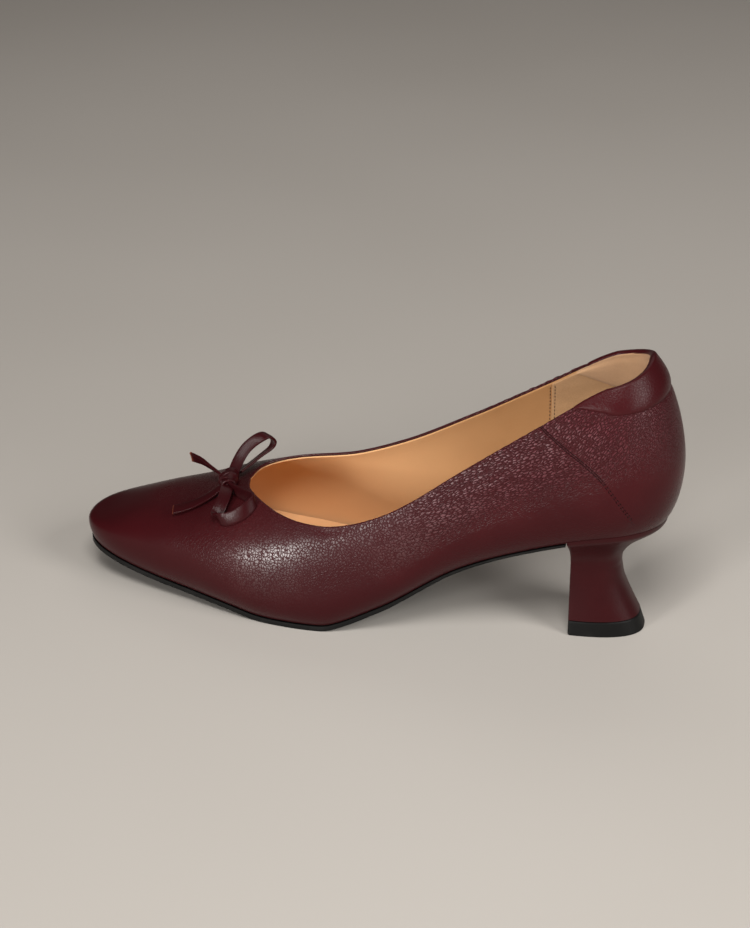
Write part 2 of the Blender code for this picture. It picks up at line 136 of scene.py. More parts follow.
class Recipe:
    """The node tree of one finish."""

    def __init__(self, name: str) -> None:
        """Start a material with its Principled shader.

        Args:
            name: The material's name.
        """
        self.material = bpy.data.materials.new(name)
        self.material.use_nodes = True
        self.tree = self.material.node_tree
        self.shader = self.tree.nodes["Principled BSDF"]

    def node(self, kind: str, settings: dict, values: dict, output: int = 0) -> Signal:
        """Add any node.

        Args:
            kind: Blender's name of the node's type.
            settings: The node's own settings, set first.
            values: Numbers, colours or signals for its sockets, by name or index.
            output: Index of the output to hand back.

        Returns:
            The output as a signal.
        """
        made = self.tree.nodes.new(kind)
        for name, setting in settings.items():
            setattr(made, name, setting)
        for name, value in values.items():
            self.feed(made.inputs[name], value)
        return Signal(self, made.outputs[output])

    def feed(self, socket: bpy.types.NodeSocket, value: "Signal | float | tuple") -> None:
        """Link a signal to a socket, or set its value.

        Args:
            socket: The input.
            value: The signal, number or colour for it.
        """
        if isinstance(value, Signal):
            self.tree.links.new(value.socket, socket)
        else:
            socket.default_value = value

    def surface(self, **values: "Signal | float | tuple") -> Material:
        """Set the Principled shader's sockets.

        Args:
            values: What each socket gets, by its name with underscores.

        Returns:
            The material.
        """
        for name, value in values.items():
            self.feed(self.shader.inputs[name.replace("_", " ")], value)
        return self.material

    def place(self, turn: tuple = (0.0, 0.0, 0.0), stretch: tuple = (1.0, 1.0, 1.0)) -> Signal:
        """Object coordinates, turned and stretched.

        Args:
            turn: Angles about the axes.
            stretch: How far features are drawn out along them.

        Returns:
            The coordinates.
        """
        where = self.node("ShaderNodeTexCoord", {}, {}, 3)
        return self.node("ShaderNodeMapping", {"vector_type": "TEXTURE"},
                         {"Vector": where, "Rotation": turn, "Scale": stretch})

    def attribute(self, name: str) -> Signal:
        """A number kept on the piece's own vertices."""
        return self.node("ShaderNodeAttribute", {"attribute_name": name}, {}, 2)

    def noise(self, where: Signal, size: float, detail: float = 3.0, rough: float = 0.5) -> Signal:
        """Soft noise with features of about a size in metres."""
        return self.node("ShaderNodeTexNoise", {},
                         {"Vector": where, "Scale": 1.0 / size, "Detail": detail, "Roughness": rough})

    def cells(self, where: Signal, size: float, feature: str = "F1") -> Signal:
        """Distance inside cells of about a size in metres."""
        return self.node("ShaderNodeTexVoronoi", {"feature": feature}, {"Vector": where, "Scale": 1.0 / size})

    def warp(self, where: Signal, reach: float) -> Signal:
        """Coordinates shaken by soft noise.

        Args:
            where: The coordinates.
            reach: About how far to shake them, in metres.

        Returns:
            The new coordinates.
        """
        shake = self.node("ShaderNodeTexNoise", {}, {"Vector": where, "Scale": 0.4 / reach}, 1)
        centred = self.node("ShaderNodeVectorMath", {"operation": "SUBTRACT"}, {0: shake, 1: (0.5, 0.5, 0.5)})
        scaled = self.node("ShaderNodeVectorMath", {"operation": "SCALE"}, {0: centred, "Scale": 2.0 * reach})
        return self.node("ShaderNodeVectorMath", {"operation": "ADD"}, {0: where, 1: scaled})

    def ramp(self, value: Signal, low: float, high: float, start: float = 0.0, end: float = 1.0) -> Signal:
        """Smooth step from start to end as a value goes from low to high."""
        return self.node("ShaderNodeMapRange", {"interpolation_type": "SMOOTHSTEP"},
                         {"Value": value, "From Min": low, "From Max": high, "To Min": start, "To Max": end})

    def mix(self, factor: Signal, first: "Signal | Colour", second: "Signal | Colour") -> Signal:
        """Blend of two colours."""
        return self.node("ShaderNodeMix", {"data_type": "RGBA"}, {0: factor, 6: first, 7: second}, 2)

    def bump(self, height: Signal, depth: float, strength: float = 1.0) -> Signal:
        """Normal of a relief whose height of 1 stands for a depth in metres."""
        return self.node("ShaderNodeBump", {}, {"Height": height, "Distance": depth, "Strength": strength})


@dataclass(frozen=True)
class GrainedLeather:
    """Pebbled burgundy leather, drawn out into strokes on the quarter and smooth on the toe.

    The turns give the strokes' slope ahead of the side seam and behind it.
    """

    name: str = "grained_burgundy_leather"
    colour: Colour = (0.045, 0.0054, 0.0070, 1.0)
    # deep serves both for the tone patches and for painted shade in the pebbles' valleys.
    deep: Colour = (0.034, 0.0040, 0.0054, 1.0)
    # foot: painted shade towards the foot of the wall, where less light falls.
    foot: Colour = (0.030, 0.0032, 0.0044, 1.0)
    # ridge: painted highlight, a lighter tint on the quarter's drawn-out crests standing in for the glints of
    # light on them.
    ridge: Colour = (0.108, 0.030, 0.037, 1.0)
    seam_tone: Colour = (0.005, 0.0008, 0.0010, 1.0)
    pebble: float = 1.2 * MM
    relief: float = 0.085 * MM
    seam_line: tuple = (0.06 * MM, 0.22 * MM)
    lines_apart: float = 0.75 * MM
    dotted_from: tuple = (30.0 * MM, 34.0 * MM)
    stitch: float = 1.75 * MM
    turns: tuple = (math.radians(30.0), math.radians(54.0))
    turn_over: tuple = (-2.0 * MM, 4.0 * MM)
    stretch: tuple = (1.75, 0.8, 0.66)
    patch: float = 34.0 * MM
    # Spans of the distance from a pebble's edge over which each effect comes in.
    dome: tuple = (0.0, 0.24)
    valley: tuple = (0.03, 0.18)
    crest: tuple = (0.05, 0.30)
    rubbed: tuple = (0.04, 0.20)
    stretch_lift: float = 3.2
    gloss: float = 0.24
    level: float = 0.14
    polish_gloss: float = 0.30

    def pebbles(self, recipe: Recipe, where: Signal, seam: Signal, stretch: Signal) -> Signal:
        """Distances from the pebbles' edges: round on the vamp, drawn out on the quarter.

        Args:
            recipe: The material's nodes.
            where: Plain coordinates.
            seam: Distances from the side seam.
            stretch: How far the leather is drawn out.

        Returns:
            The distances, 0 in the valleys.
        """
        drawn = (recipe.place((0.0, turn, 0.0), self.stretch) for turn in self.turns)
        ahead, behind, rounded = (
            recipe.cells(recipe.warp(place, 0.45 * self.pebble), self.pebble, "DISTANCE_TO_EDGE")
            for place in (*drawn, where))
        back = recipe.ramp(seam, *self.turn_over)
        return rounded * (1.0 - stretch) + (ahead * (1.0 - back) + behind * back) * stretch

    def groove(self, recipe: Recipe, seam: Signal, run: Signal) -> Signal:
        """The side seam's double line, broken into dots in its lower half.

        Args:
            recipe: The material's nodes.
            seam: Distances from the seam.
            run: Distances along it.

        Returns:
            0 in the line and 1 beside it.
        """
        holes = recipe.node("ShaderNodeMath", {"operation": "SINE"}, {0: run * (2.0 * math.pi / self.stitch)})
        shut = 1.0 - recipe.ramp(run, *self.dotted_from) * recipe.ramp(holes, -0.2, 0.5)
        lines = abs(abs(seam - 0.5 * self.lines_apart) - 0.5 * self.lines_apart)
        return 1.0 - shut * (1.0 - recipe.ramp(lines, *self.seam_line))

    def material(self) -> Material:
        """Make the material.

        Returns:
            The material, which reads the attributes grain, polish, low, stretch, ridges, seam and seam_run.
        """
        recipe = Recipe(self.name)
        where = recipe.place()
        grain, polish, low, stretch, painted_crest_highlight, seam, run = (
            recipe.attribute(name)
            for name in ("grain", "polish", "low", "stretch", "painted_crest_highlight", "seam", "seam_run"))
        wander = recipe.noise(where, 6.0 * self.pebble, 2.0)
        pores = recipe.noise(where, 0.3 * self.pebble, 2.0, 0.6)
        patches = recipe.noise(where, self.patch, 3.0)
        edges = self.pebbles(recipe, where, seam, stretch)
        groove = self.groove(recipe, seam, run)
        domes = (recipe.ramp(edges, *self.dome) + 0.6 * edges) * (0.45 + 0.55 * wander)
        domes = domes * grain * (1.0 + self.stretch_lift * stretch)
        # Painted shade in the pebbles' valleys; the same mask also makes them rougher.
        valleys = (1.0 - recipe.ramp(edges, *self.valley)) * grain
        # Painted highlight: on the quarter the crests of the drawn-out grain are tinted lighter.
        painted_crest_highlight = painted_crest_highlight * recipe.ramp(edges, *self.crest) * recipe.ramp(wander, 0.25, 0.75, 0.35, 1.0)
        polish = polish * recipe.ramp(edges, *self.rubbed) * recipe.ramp(wander, 0.2, 0.7, 0.5, 1.2)
        tone = recipe.mix(recipe.ramp(patches, 0.3, 0.7), self.colour, self.deep)
        # Painted shade in the valleys and at the foot of the wall, a painted highlight on the crests, then
        # the seam's dark line.
        for share, colour in ((0.7 * valleys, self.deep), (painted_crest_highlight, self.ridge), (0.85 * low, self.foot),
                              (0.9 * (1.0 - groove), self.seam_tone)):
            tone = recipe.mix(share, tone, colour)
        gloss = self.gloss + 0.08 * patches + 0.25 * valleys
        relief = recipe.bump(domes + 0.15 * pores + 3.0 * groove, self.relief)
        return recipe.surface(Base_Color=tone, Roughness=gloss, Normal=relief, Specular_IOR_Level=self.level,
                              Coat_Weight=polish, Coat_Roughness=self.polish_gloss)


@dataclass(frozen=True)
class SmoothLeather:
    """Fine-grained leather with soft tone patches."""

    name: str
    colour: Colour
    deep: Colour
    gloss: float
    pore: float = 0.35 * MM
    patch: float = 22.0 * MM
    relief: float = 0.03 * MM
    level: float = 0.14
    raw: Colour | None = None
    # Painted light: a lighter colour towards the front, standing in for more light falling on the front of
    # the lining and sock.
    painted_light_front: Colour | None = None
    painted_light_span: tuple = (-0.055, 0.025)

    def material(self) -> Material:
        """Make the material.

        Returns:
            The material; a raw colour shows where the attribute cut is 1, and a lighter colour ahead along X
            is painted light.
        """
        recipe = Recipe(self.name)
        where = recipe.place()
        patches = recipe.noise(where, self.patch, 3.0)
        pores = recipe.noise(where, self.pore, 3.0, 0.6)
        fine = recipe.cells(where, 2.0 * self.pore)
        tone = recipe.mix(recipe.ramp(patches, 0.3, 0.7), self.colour, self.deep)
        tone = recipe.mix(0.25 * recipe.ramp(fine, 0.4, 0.9), tone, self.deep)
        # Painted light: the tone grows lighter ahead along X.
        if self.painted_light_front is not None:
            ahead = recipe.node("ShaderNodeSeparateXYZ", {}, {"Vector": where})
            tone = recipe.mix(recipe.ramp(ahead, *self.painted_light_span), tone, self.painted_light_front)
        if self.raw is not None:
            tone = recipe.mix(recipe.attribute("cut"), tone, self.raw)
        gloss = self.gloss - 0.06 + 0.12 * patches + 0.05 * pores
        relief = recipe.bump(pores + 0.6 * fine, self.relief, 0.7)
        return recipe.surface(Base_Color=tone, Roughness=gloss, Normal=relief, Specular_IOR_Level=self.level)


@dataclass(frozen=True)
class Nubuck:
    """Brushed leather with a short nap."""

    name: str
    colour: Colour
    deep: Colour
    nap: float = 0.4 * MM
    relief: float = 0.09 * MM
    stroke: float = 6.0 * MM
    stroke_turn: float = math.radians(20.0)
    stroke_stretch: float = 2.0
    gloss: float = 0.86
    level: float = 0.2
    sheen: tuple = (0.25, 0.5)

    def material(self) -> Material:
        """Make the material.

        Returns:
            The material.
        """
        recipe = Recipe(self.name)
        where = recipe.place()
        brushed = recipe.place((0.0, self.stroke_turn, 0.0), (self.stroke_stretch, 1.0, 1.0))
        nap = recipe.noise(where, self.nap, 4.0, 0.7)
        strokes = recipe.noise(brushed, self.stroke, 3.0)
        tone = recipe.mix(recipe.ramp(0.6 * nap + 0.4 * strokes, 0.35, 0.65), self.deep, self.colour)
        relief = recipe.bump(nap, self.relief, 0.8)
        weight, spread = self.sheen
        return recipe.surface(Base_Color=tone, Roughness=self.gloss + 0.1 * nap, Normal=relief,
                              Specular_IOR_Level=self.level, Sheen_Weight=weight, Sheen_Roughness=spread)


@dataclass(frozen=True)
class Rubber:
    """Black moulded rubber with a fine matt skin."""

    name: str
    colour: Colour = (0.0038, 0.0038, 0.0037, 1.0)
    worn: Colour = (0.0075, 0.0075, 0.0072, 1.0)
    gloss: float = 0.46
    skin: float = 0.30 * MM
    dust: float = 11.0 * MM
    relief: float = 0.03 * MM
    level: float = 0.16

    def material(self) -> Material:
        """Make the material.

        Returns:
            The material.
        """
        recipe = Recipe(self.name)
        where = recipe.place()
        skin = recipe.noise(where, self.skin, 3.0, 0.6)
        dust = recipe.noise(where, self.dust, 4.0, 0.6)
        tone = recipe.mix(recipe.ramp(dust, 0.45, 0.75), self.colour, self.worn)
        gloss = self.gloss - 0.05 + 0.12 * dust + 0.08 * skin
        return recipe.surface(Base_Color=tone, Roughness=gloss, Normal=recipe.bump(skin, self.relief, 0.7),
                              Specular_IOR_Level=self.level)


@dataclass(frozen=True)
class Thread:
    """Twisted sewing thread."""

    name: str
    colour: Colour
    deep: Colour
    twist: float = 0.16 * MM
    relief: float = 0.05 * MM

    def material(self) -> Material:
        """Make the material.

        Returns:
            The material.
        """
        recipe = Recipe(self.name)
        fibre = recipe.noise(recipe.place((0.4, 0.3, 0.7), (1.0, 2.5, 1.0)), self.twist, 2.0)
        tone = recipe.mix(recipe.ramp(fibre, 0.35, 0.65), self.deep, self.colour)
        relief = recipe.bump(fibre, self.relief, 0.6)
        return recipe.surface(Base_Color=tone, Roughness=0.5 + 0.2 * fibre, Normal=relief)


@dataclass(frozen=True)
class FloorPaper:
    """Plain pale studio floor."""

    name: str = "pale_floor"
    colour: Colour = (0.50, 0.475, 0.44, 1.0)
    deep: Colour = (0.475, 0.45, 0.415, 1.0)
    cloud: float = 0.4
    gloss: float = 0.8
    level: float = 0.2

    def material(self) -> Material:
        """Make the material.

        Returns:
            The material.
        """
        recipe = Recipe(self.name)
        cloud = recipe.noise(recipe.place(), self.cloud, 2.0)
        tone = recipe.mix(recipe.ramp(cloud, 0.3, 0.7), self.colour, self.deep)
        return recipe.surface(Base_Color=tone, Roughness=self.gloss + 0.1 * cloud,
                              Specular_IOR_Level=self.level)


def hermite(places: Array, knots: Array, values: Array) -> Array:
    """Smooth curve through a table's column.

    Args:
        places: Where to read the curve.
        knots: The table's places, rising.
        values: The table's values.

    Returns:
        The curve's values, held level past the ends.
    """
    slopes = np.gradient(values, knots)
    row = np.clip(np.searchsorted(knots, places) - 1, 0, len(knots) - 2)
    span = knots[row + 1] - knots[row]
    t = np.clip((places - knots[row]) / span, 0.0, 1.0)
    rest = 1.0 - t
    return (values[row] * (1.0 + 2.0 * t) * rest**2 + slopes[row] * span * t * rest**2
            + values[row + 1] * (3.0 - 2.0 * t) * t**2 - slopes[row + 1] * span * t**2 * rest)


def ease(share: Array) -> Array:
    """Smooth step from 0 to 1."""
    share = np.clip(share, 0.0, 1.0)
    return share * share * (3.0 - 2.0 * share)


def fade(values: Array, start: float, run: float) -> Array:
    """Smooth step from 0 at a start to 1 a run further on, or back where the run is below 0."""
    return ease((values - start) / run)


def hump(values: Array, centre: float, width: float) -> Array:
    """Bell curve, 1 at its centre."""
    return np.exp(-(((values - centre) / width) ** 2))


def read_line(places: Array, along: Array, line: Array) -> Array:
    """Points of a line at some lengths along it."""
    return np.stack([np.interp(places, along, axis) for axis in line.T], axis=-1)


def unit(vectors: Array) -> Array:
    """Vectors at length 1."""
    return vectors / np.maximum(np.linalg.norm(vectors, axis=-1, keepdims=True), 1.0e-12)


class Section(NamedTuple):
    """A section of the last: shares of the length, ball width, heel height and back height."""

    station: float
    lateral: float
    medial: float
    feather: float
    crown: float
    square: float
    tuck_lateral: float
    tuck_medial: float
    rise: float


class Edge(NamedTuple):
    """A point of the topline: station and shares of the half widths there."""

    station: float
    lateral: float
    medial: float


SECTIONS = (
    Section(0.000, 0.337, 0.340, 1.000, 1.094, 1.72, 0.071, 0.071, 0.400),
    Section(0.122, 0.367, 0.376, 0.958, 1.060, 2.00, 0.071, 0.071, 0.381),
    Section(0.224, 0.379, 0.385, 0.834, 0.953, 2.20, 0.074, 0.103, 0.343),
    Section(0.346, 0.397, 0.397, 0.600, 0.782, 2.30, 0.081, 0.128, 0.305),
    Section(0.467, 0.450, 0.427, 0.245, 0.629, 2.30, 0.069, 0.115, 0.267),
    Section(0.569, 0.496, 0.469, 0.056, 0.513, 2.35, 0.051, 0.064, 0.229),
    Section(0.650, 0.497, 0.498, 0.062, 0.449, 2.40, 0.056, 0.044, 0.210),
    Section(0.732, 0.456, 0.482, 0.118, 0.388, 2.50, 0.060, 0.046, 0.200),
    Section(0.813, 0.372, 0.424, 0.154, 0.3235, 2.60, 0.050, 0.044, 0.190),
    Section(0.894, 0.296, 0.372, 0.204, 0.2725, 2.70, 0.036, 0.034, 0.171),
    Section(1.000, 0.256, 0.350, 0.318, 0.2055, 2.70, 0.021, 0.026, 0.152),
)
TOPLINE = (
    Edge(0.713, 0.00, 0.00),
    Edge(0.701, 0.28, 0.30),
    Edge(0.662, 0.56, 0.52),
    Edge(0.608, 0.74, 0.65),
    Edge(0.517, 0.85, 0.74),
    Edge(0.423, 0.88, 0.79),
    Edge(0.325, 0.85, 0.82),
    Edge(0.224, 0.79, 0.80),
    Edge(0.122, 0.66, 0.68),
)


@dataclass(frozen=True)
class Strips:
    """Meridians of the upper's wall, from its widest outline in plan to its topline.

    place counts along each side: 0 toe tip, 1 waist, 2 heel breast, 3 start of the heel cup's round, 4 back.
    run is the distance along the outline from the back.
    """

    outline: Array
    inward: Array
    edge: Array
    tuck: Array
    side: Array
    place: Array
    run: Array

    def pick(self, rows: Array) -> "Strips":
        """Some of the meridians."""
        return Strips(*(getattr(self, name)[rows] for name in self.__dataclass_fields__))

    def then(self, other: "Strips") -> "Strips":
        """These meridians and then the other's."""
        return Strips(*(np.concatenate([getattr(self, name), getattr(other, name)])
                        for name in self.__dataclass_fields__))


@dataclass
class Last:
    """The form that the shoe is made on, as functions of the same sizes as the solids."""

    length: float = 0.246
    ball_width: float = 0.078
    heel_height: float = 0.0525
    back_height: float = 0.117
    sole: float = 3.3 * MM
    gap: float = 0.3 * MM
    wall_thickness: float = 1.8 * MM
    rocker: float = 0.8 * MM
    turn_under: float = 1.2 * MM
    toe_centre: float = 0.837
    toe_square: float = 2.3
    heel_centre: float = 0.122
    heel_square: float = 2.15
    swing: float = 0.070
    swing_start: float = 0.30
    swing_run: float = 0.57
    lean: float = math.radians(65.0)
    bend_share: float = 0.25
    breast: float = 0.1707
    waist_row: int = 5
    back_share: float = 0.53
    fine: int = 300
    fine_steps: tuple = (368, 144, 32, 144)
    nudge: float = 0.004
    depth_steps: int = 160
    round_limit: float = 0.9
    toe_round: float = 2.3 * MM
    round_from: float = 0.105
    round_run: float = 0.125
    round_passes: int = 70
    toe_blend: float = 0.15
    columns: Section = field(default_factory=lambda: Section(*np.array(SECTIONS).T))
    edges: Edge = field(default_factory=lambda: Edge(*np.array(TOPLINE).T))
    shift: Array = field(init=False)

    def __post_init__(self) -> None:
        """Find the move from the heel's back to the part's origin, under the middle of the frame's box."""
        low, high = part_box("upper")
        self.shift = np.zeros(3)
        widest = [self.half_loop(side).outline[:, 1] for side in Side]
        self.shift = np.array([low.x, (low.y + high.y - widest[0].max() - widest[1].min()) / 2.0, 0.0])

    def section(self, name: str, x: Array) -> Array:
        """One column of the section table at X."""
        return hermite(x / self.length, self.columns.station, getattr(self.columns, name))

    def ridge(self, x: Array) -> Array:
        """Y of the last's ridge at X."""
        return -self.swing * self.ball_width * ease((x / self.length - self.swing_start) / self.swing_run)

    def half_width(self, side: Array, x: Array) -> Array:
        """Half width at X on the side that a sign gives."""
        return self.ball_width * np.where(side > 0, self.section("lateral", x), self.section("medial", x))

    def gauge(self, x: Array, y: Array) -> Array:
        """Measure places in plan: 0 on the ridge and 1 on the widest outline.

        Args:
            x: Places along the shoe.
            y: Places across it.

        Returns:
            The measures, above 1 outside it.
        """
        toe, heel = self.toe_centre * self.length, self.heel_centre * self.length
        ahead = np.maximum(0.0, (x - toe) / (self.length - toe))
        behind = np.maximum(0.0, (heel - x) / heel)
        power = np.where(ahead > 0.0, self.toe_square, self.heel_square)
        across = np.abs(y - self.ridge(x)) / self.half_width(y - self.ridge(x), x)
        return (across**power + ahead**power + behind**power) ** (1.0 / power)

    def feather(self, x: Array) -> Array:
        """Height of the feather line at X, level under the ball.

        Args:
            x: Places along the shoe.

        Returns:
            The heights.
        """
        climb = self.heel_height * self.section("feather", x) - self.sole - self.gap
        eased = (climb + self.rocker) ** 2 / (4.0 * self.rocker)
        climb = np.where(np.abs(climb) < self.rocker, eased, climb)
        return self.sole + self.gap + np.maximum(0.0, climb)

    def widest(self, x: Array) -> Array:
        """Height of the widest line at X."""
        return self.feather(x) + self.heel_height * self.section("rise", x)

    def height(self, x: Array, y: Array) -> Array:
        """Height of the last above its widest line.

        Args:
            x: Places along the shoe.
            y: Places across it.

        Returns:
            The heights.
        """
        low = self.widest(x)
        power = self.section("square", x)
        fall = np.maximum(0.0, 1.0 - self.gauge(x, y) ** power) ** (1.0 / power)
        return low + (self.back_height * self.section("crown", x) - low) * fall

    def across(self, side: float, x: Array, share: Array) -> Array:
        """Plan points at a share of the half width from the ridge."""
        return np.stack([x, self.ridge(x) + side * share * self.half_width(side, x)], axis=-1)

    def half_loop(self, side: Side, steps: tuple = (92, 36, 8, 36)) -> Strips:
        """Meridians of one side from the toe tip to the back.

        Args:
            side: The side of the foot.
            steps: How many lie from the toe to the waist, to the breast, to the heel's round and to the back.

        Returns:
            The meridians in plan, measured from the heel's back.
        """
        front, middle, seat, back = steps
        sign = side.value
        toe, heel, breast = self.length * np.array([self.toe_centre, self.heel_centre, self.breast])
        stations = self.edges.station
        shares = self.edges.lateral if side is Side.LATERAL else self.edges.medial
        rows = np.arange(len(stations), dtype=float)
        waist = self.length * stations[self.waist_row]
        quarter = np.linspace(0.0, math.pi / 2.0, self.fine)
        x = toe + (self.length - toe) * np.maximum(0.0, np.cos(quarter)) ** (2.0 / self.toe_square)
        dense = self.across(sign, x, np.sin(quarter) ** (2.0 / self.toe_square))
        dense = np.concatenate([dense, self.across(sign, np.linspace(toe, waist, self.fine)[1:], 1.0)])
        along = lengths_along(dense[None])[0]
        even = np.linspace(0.0, along[-1], front + 1)
        row = np.linspace(0.0, self.waist_row, front + 1)
        straight = np.concatenate([np.linspace(waist, breast, middle + 1)[1:],
                                   np.linspace(breast, heel, seat + 1)[1:]])
        straight_share = hermite(straight / self.length, stations[::-1], shares[::-1])
        turn = np.arange(1, back + 1) / back
        x = heel * (1.0 - np.sin(turn * math.pi / 2.0) ** (2.0 / self.heel_square))
        cup = self.across(sign, x, np.maximum(0.0, np.cos(turn * math.pi / 2.0)) ** (2.0 / self.heel_square))
        centre = self.across(sign, np.array([heel]), 0.0)
        cup_share = straight_share[-1] + (self.back_share - straight_share[-1]) * ease(turn)
        outline = np.concatenate([read_line(even, along, dense), self.across(sign, straight, 1.0), cup])
        edge = np.concatenate([
            self.across(sign, self.length * hermite(row, rows, stations), hermite(row, rows, shares)),
            self.across(sign, straight, straight_share), centre + (cup - centre) * cup_share[:, None]])
        tangent = np.gradient(outline, axis=0)
        inward = unit(np.stack([-tangent[:, 1], tangent[:, 0]], axis=-1) * sign)
        inward[0], inward[-1] = (-1.0, 0.0), (1.0, 0.0)
        place = np.concatenate([np.linspace(0.0, 1.0, front + 1), 1.0 + np.arange(1, middle + 1) / middle,
                                2.0 + np.arange(1, seat + 1) / seat, 3.0 + turn])
        tucks = [self.section(name, outline[:, 0]) for name in ("tuck_lateral", "tuck_medial")]
        tuck = tucks[0] if side is Side.LATERAL else tucks[1]
        tuck = tuck + (sum(tucks) / 2.0 - tuck) * ease(1.0 - place / self.toe_blend)
        run = lengths_along(outline[None, ::-1])[0, ::-1]
        return Strips(outline, inward, edge, self.ball_width * tuck, np.full(len(outline), sign), place, run)

    def ring(self, steps: tuple, start: float = 0.0) -> Strips:
        """Meridians from a place on the outer side round the back to the same place on the inner side.

        Args:
            steps: The counts that half_loop takes.
            start: The place to start from.

        Returns:
            The meridians.
        """
        lateral, medial = (self.half_loop(side, steps) for side in Side)
        keep = np.flatnonzero(lateral.place >= start - MERGE)
        return lateral.pick(keep).then(medial.pick(keep[-2::-1]))

    def strips_at(self, side: Side, runs: Array) -> Strips:
        """Meridians of one side at any distances from the back.

        Args:
            side: The side of the foot.
            runs: The distances.

        Returns:
            The meridians.
        """
        fine = self.half_loop(side, self.fine_steps)
        columns = (getattr(fine, name)[::-1] for name in fine.__dataclass_fields__)
        return Strips(*(np.interp(runs, fine.run[::-1], column) if column.ndim == 1
                        else read_line(runs, fine.run[::-1], column) for column in columns))

    def band(self, reach: float, count: int) -> Strips:
        """Meridians evenly spaced round the back, out to a reach along each side.

        Args:
            reach: The distance from the back.
            count: How many steps lie on each side.

        Returns:
            The meridians.
        """
        runs = np.linspace(reach, 0.0, count + 1)
        lateral, medial = (self.strips_at(side, runs) for side in Side)
        return lateral.then(medial.pick(np.arange(count - 1, -1, -1)))

    def wall(self, strips: Strips, shares: Array) -> Array:
        """Points of the upper's outer face.

        Args:
            strips: The meridians.
            shares: From 0 at the feather line to 1 at the topline, for all meridians or a row for each.

        Returns:
            An array of meridians by shares by 3.
        """
        shares = np.broadcast_to(shares, (len(strips.outline), np.shape(shares)[-1]))
        outline, edge, inward = strips.outline[:, None], strips.edge[:, None], strips.inward[:, None]
        lean = self.lean * (1.0 - np.minimum(shares, self.bend_share) / self.bend_share)
        turned = (1.0 - np.cos(lean)) / (1.0 - math.cos(self.lean))
        low = outline + inward * (strips.tuck[:, None] * turned)[..., None]
        drop = self.heel_height * self.section("rise", low[..., 0]) + self.turn_under
        drop = drop * np.sin(lean) / math.sin(self.lean)
        low_z = self.widest(low[..., 0]) - drop
        power = self.section("square", strips.outline[:, 0])[:, None]
        end = self.gauge(strips.edge[:, 0], strips.edge[:, 1])[:, None]
        climb = np.maximum(shares - self.bend_share, 0.0) / (1.0 - self.bend_share)
        reach = (1.0 - np.cos(np.arccos(end ** (power / 2.0)) * climb) ** (2.0 / power)) / (1.0 - end)
        top = outline + (edge - outline) * reach[..., None]
        top_z = self.height(top[..., 0], top[..., 1])
        below = shares < self.bend_share
        plan = np.where(below[..., None], low, top)
        return np.concatenate([plan, np.where(below, low_z, top_z)[..., None]], axis=-1) + self.shift

    def share_at_depth(self, strips: Strips, depths: Array) -> Array:
        """Shares of the wall at depths below the topline.

        Args:
            strips: The meridians.
            depths: A row of depths for each, or one for all.

        Returns:
            The shares, in the same layout.
        """
        shares = np.linspace(1.0, 0.0, self.depth_steps)
        along = lengths_along(self.wall(strips, shares))
        depths = np.broadcast_to(depths, (len(along), np.shape(depths)[-1]))
        return np.stack([np.interp(depth, run, shares) for depth, run in zip(depths, along)])

    def face(self, strips: Strips, low: Array, high: Array, rows: int) -> Array:
        """Points of the outer face, evenly spaced along each meridian, with the toe's corner rounded.

        Args:
            strips: The meridians.
            low: The share where each one starts.
            high: The share where each one ends.
            rows: How many steps lie between.

        Returns:
            An array of meridians by rows + 1 by 3.
        """
        span = np.linspace(0.0, 1.0, self.fine + 1)
        shares = low[:, None] + (high - low)[:, None] * span
        points = evenly(self.wall(strips, shares), self.fine)
        spacing = lengths_along(points)[:, -1] / self.fine
        reach = self.toe_round * ease((strips.run - self.round_from) / self.round_run)
        weight = np.minimum(self.round_limit, (reach / spacing) ** 2 / self.round_passes)[:, None, None]
        for _ in range(self.round_passes):
            points[:, 1:-1] += weight * (0.5 * (points[:, :-2] + points[:, 2:]) - points[:, 1:-1])
        return evenly(points, rows)

    def trace(self, side: Side, path: tuple, count: int) -> tuple[Array, Array]:
        """A line on the outer face.

        Args:
            side: The side of the foot.
            path: Distances from the back along the outline and depths below the topline, in millimetres.
            count: How many points to give.

        Returns:
            The points and the outward normals there.
        """
        rows = np.linspace(0.0, len(path) - 1.0, count)
        steps = np.arange(len(path), dtype=float)
        runs, depths = (hermite(rows, steps, column * MM) for column in np.array(path).T)
        strips = self.strips_at(side, runs)
        shares = self.share_at_depth(strips, depths[:, None])[:, 0]
        points = self.wall(strips, shares[:, None])[:, 0]
        above = self.wall(strips, np.minimum(shares + self.nudge, 1.0)[:, None])[:, 0]
        below = self.wall(strips, np.maximum(shares - self.nudge, 0.0)[:, None])[:, 0]
        beside = self.wall(self.strips_at(side, runs - MM), shares[:, None])[:, 0]
        ahead = self.wall(self.strips_at(side, runs + MM), shares[:, None])[:, 0]
        return points, unit(np.cross(beside - ahead, above - below)) * side.value


def lengths_along(lines: Array) -> Array:
    """Running length along each line of points."""
    steps = np.linalg.norm(np.diff(lines, axis=1), axis=-1)
    return np.concatenate([np.zeros((len(lines), 1)), np.cumsum(steps, axis=1)], axis=1)


def evenly(lines: Array, count: int) -> Array:
    """Each line of points again with evenly spaced points."""
    share = np.linspace(0.0, 1.0, count + 1)
    return np.stack([read_line(share * run[-1], run, line) for line, run in zip(lines, lengths_along(lines))])


def face_normals(points: Array, closed: bool) -> Array:
    """Outward normals of a grid of points.

    Args:
        points: Meridians by rows by 3.
        closed: Whether the last meridian is the first again.

    Returns:
        Unit vectors in the same layout.
    """
    along = np.gradient(points, axis=0)
    if closed:
        along[0] = along[-1] = points[1] - points[-2]
    return unit(np.cross(along, np.gradient(points, axis=1)))


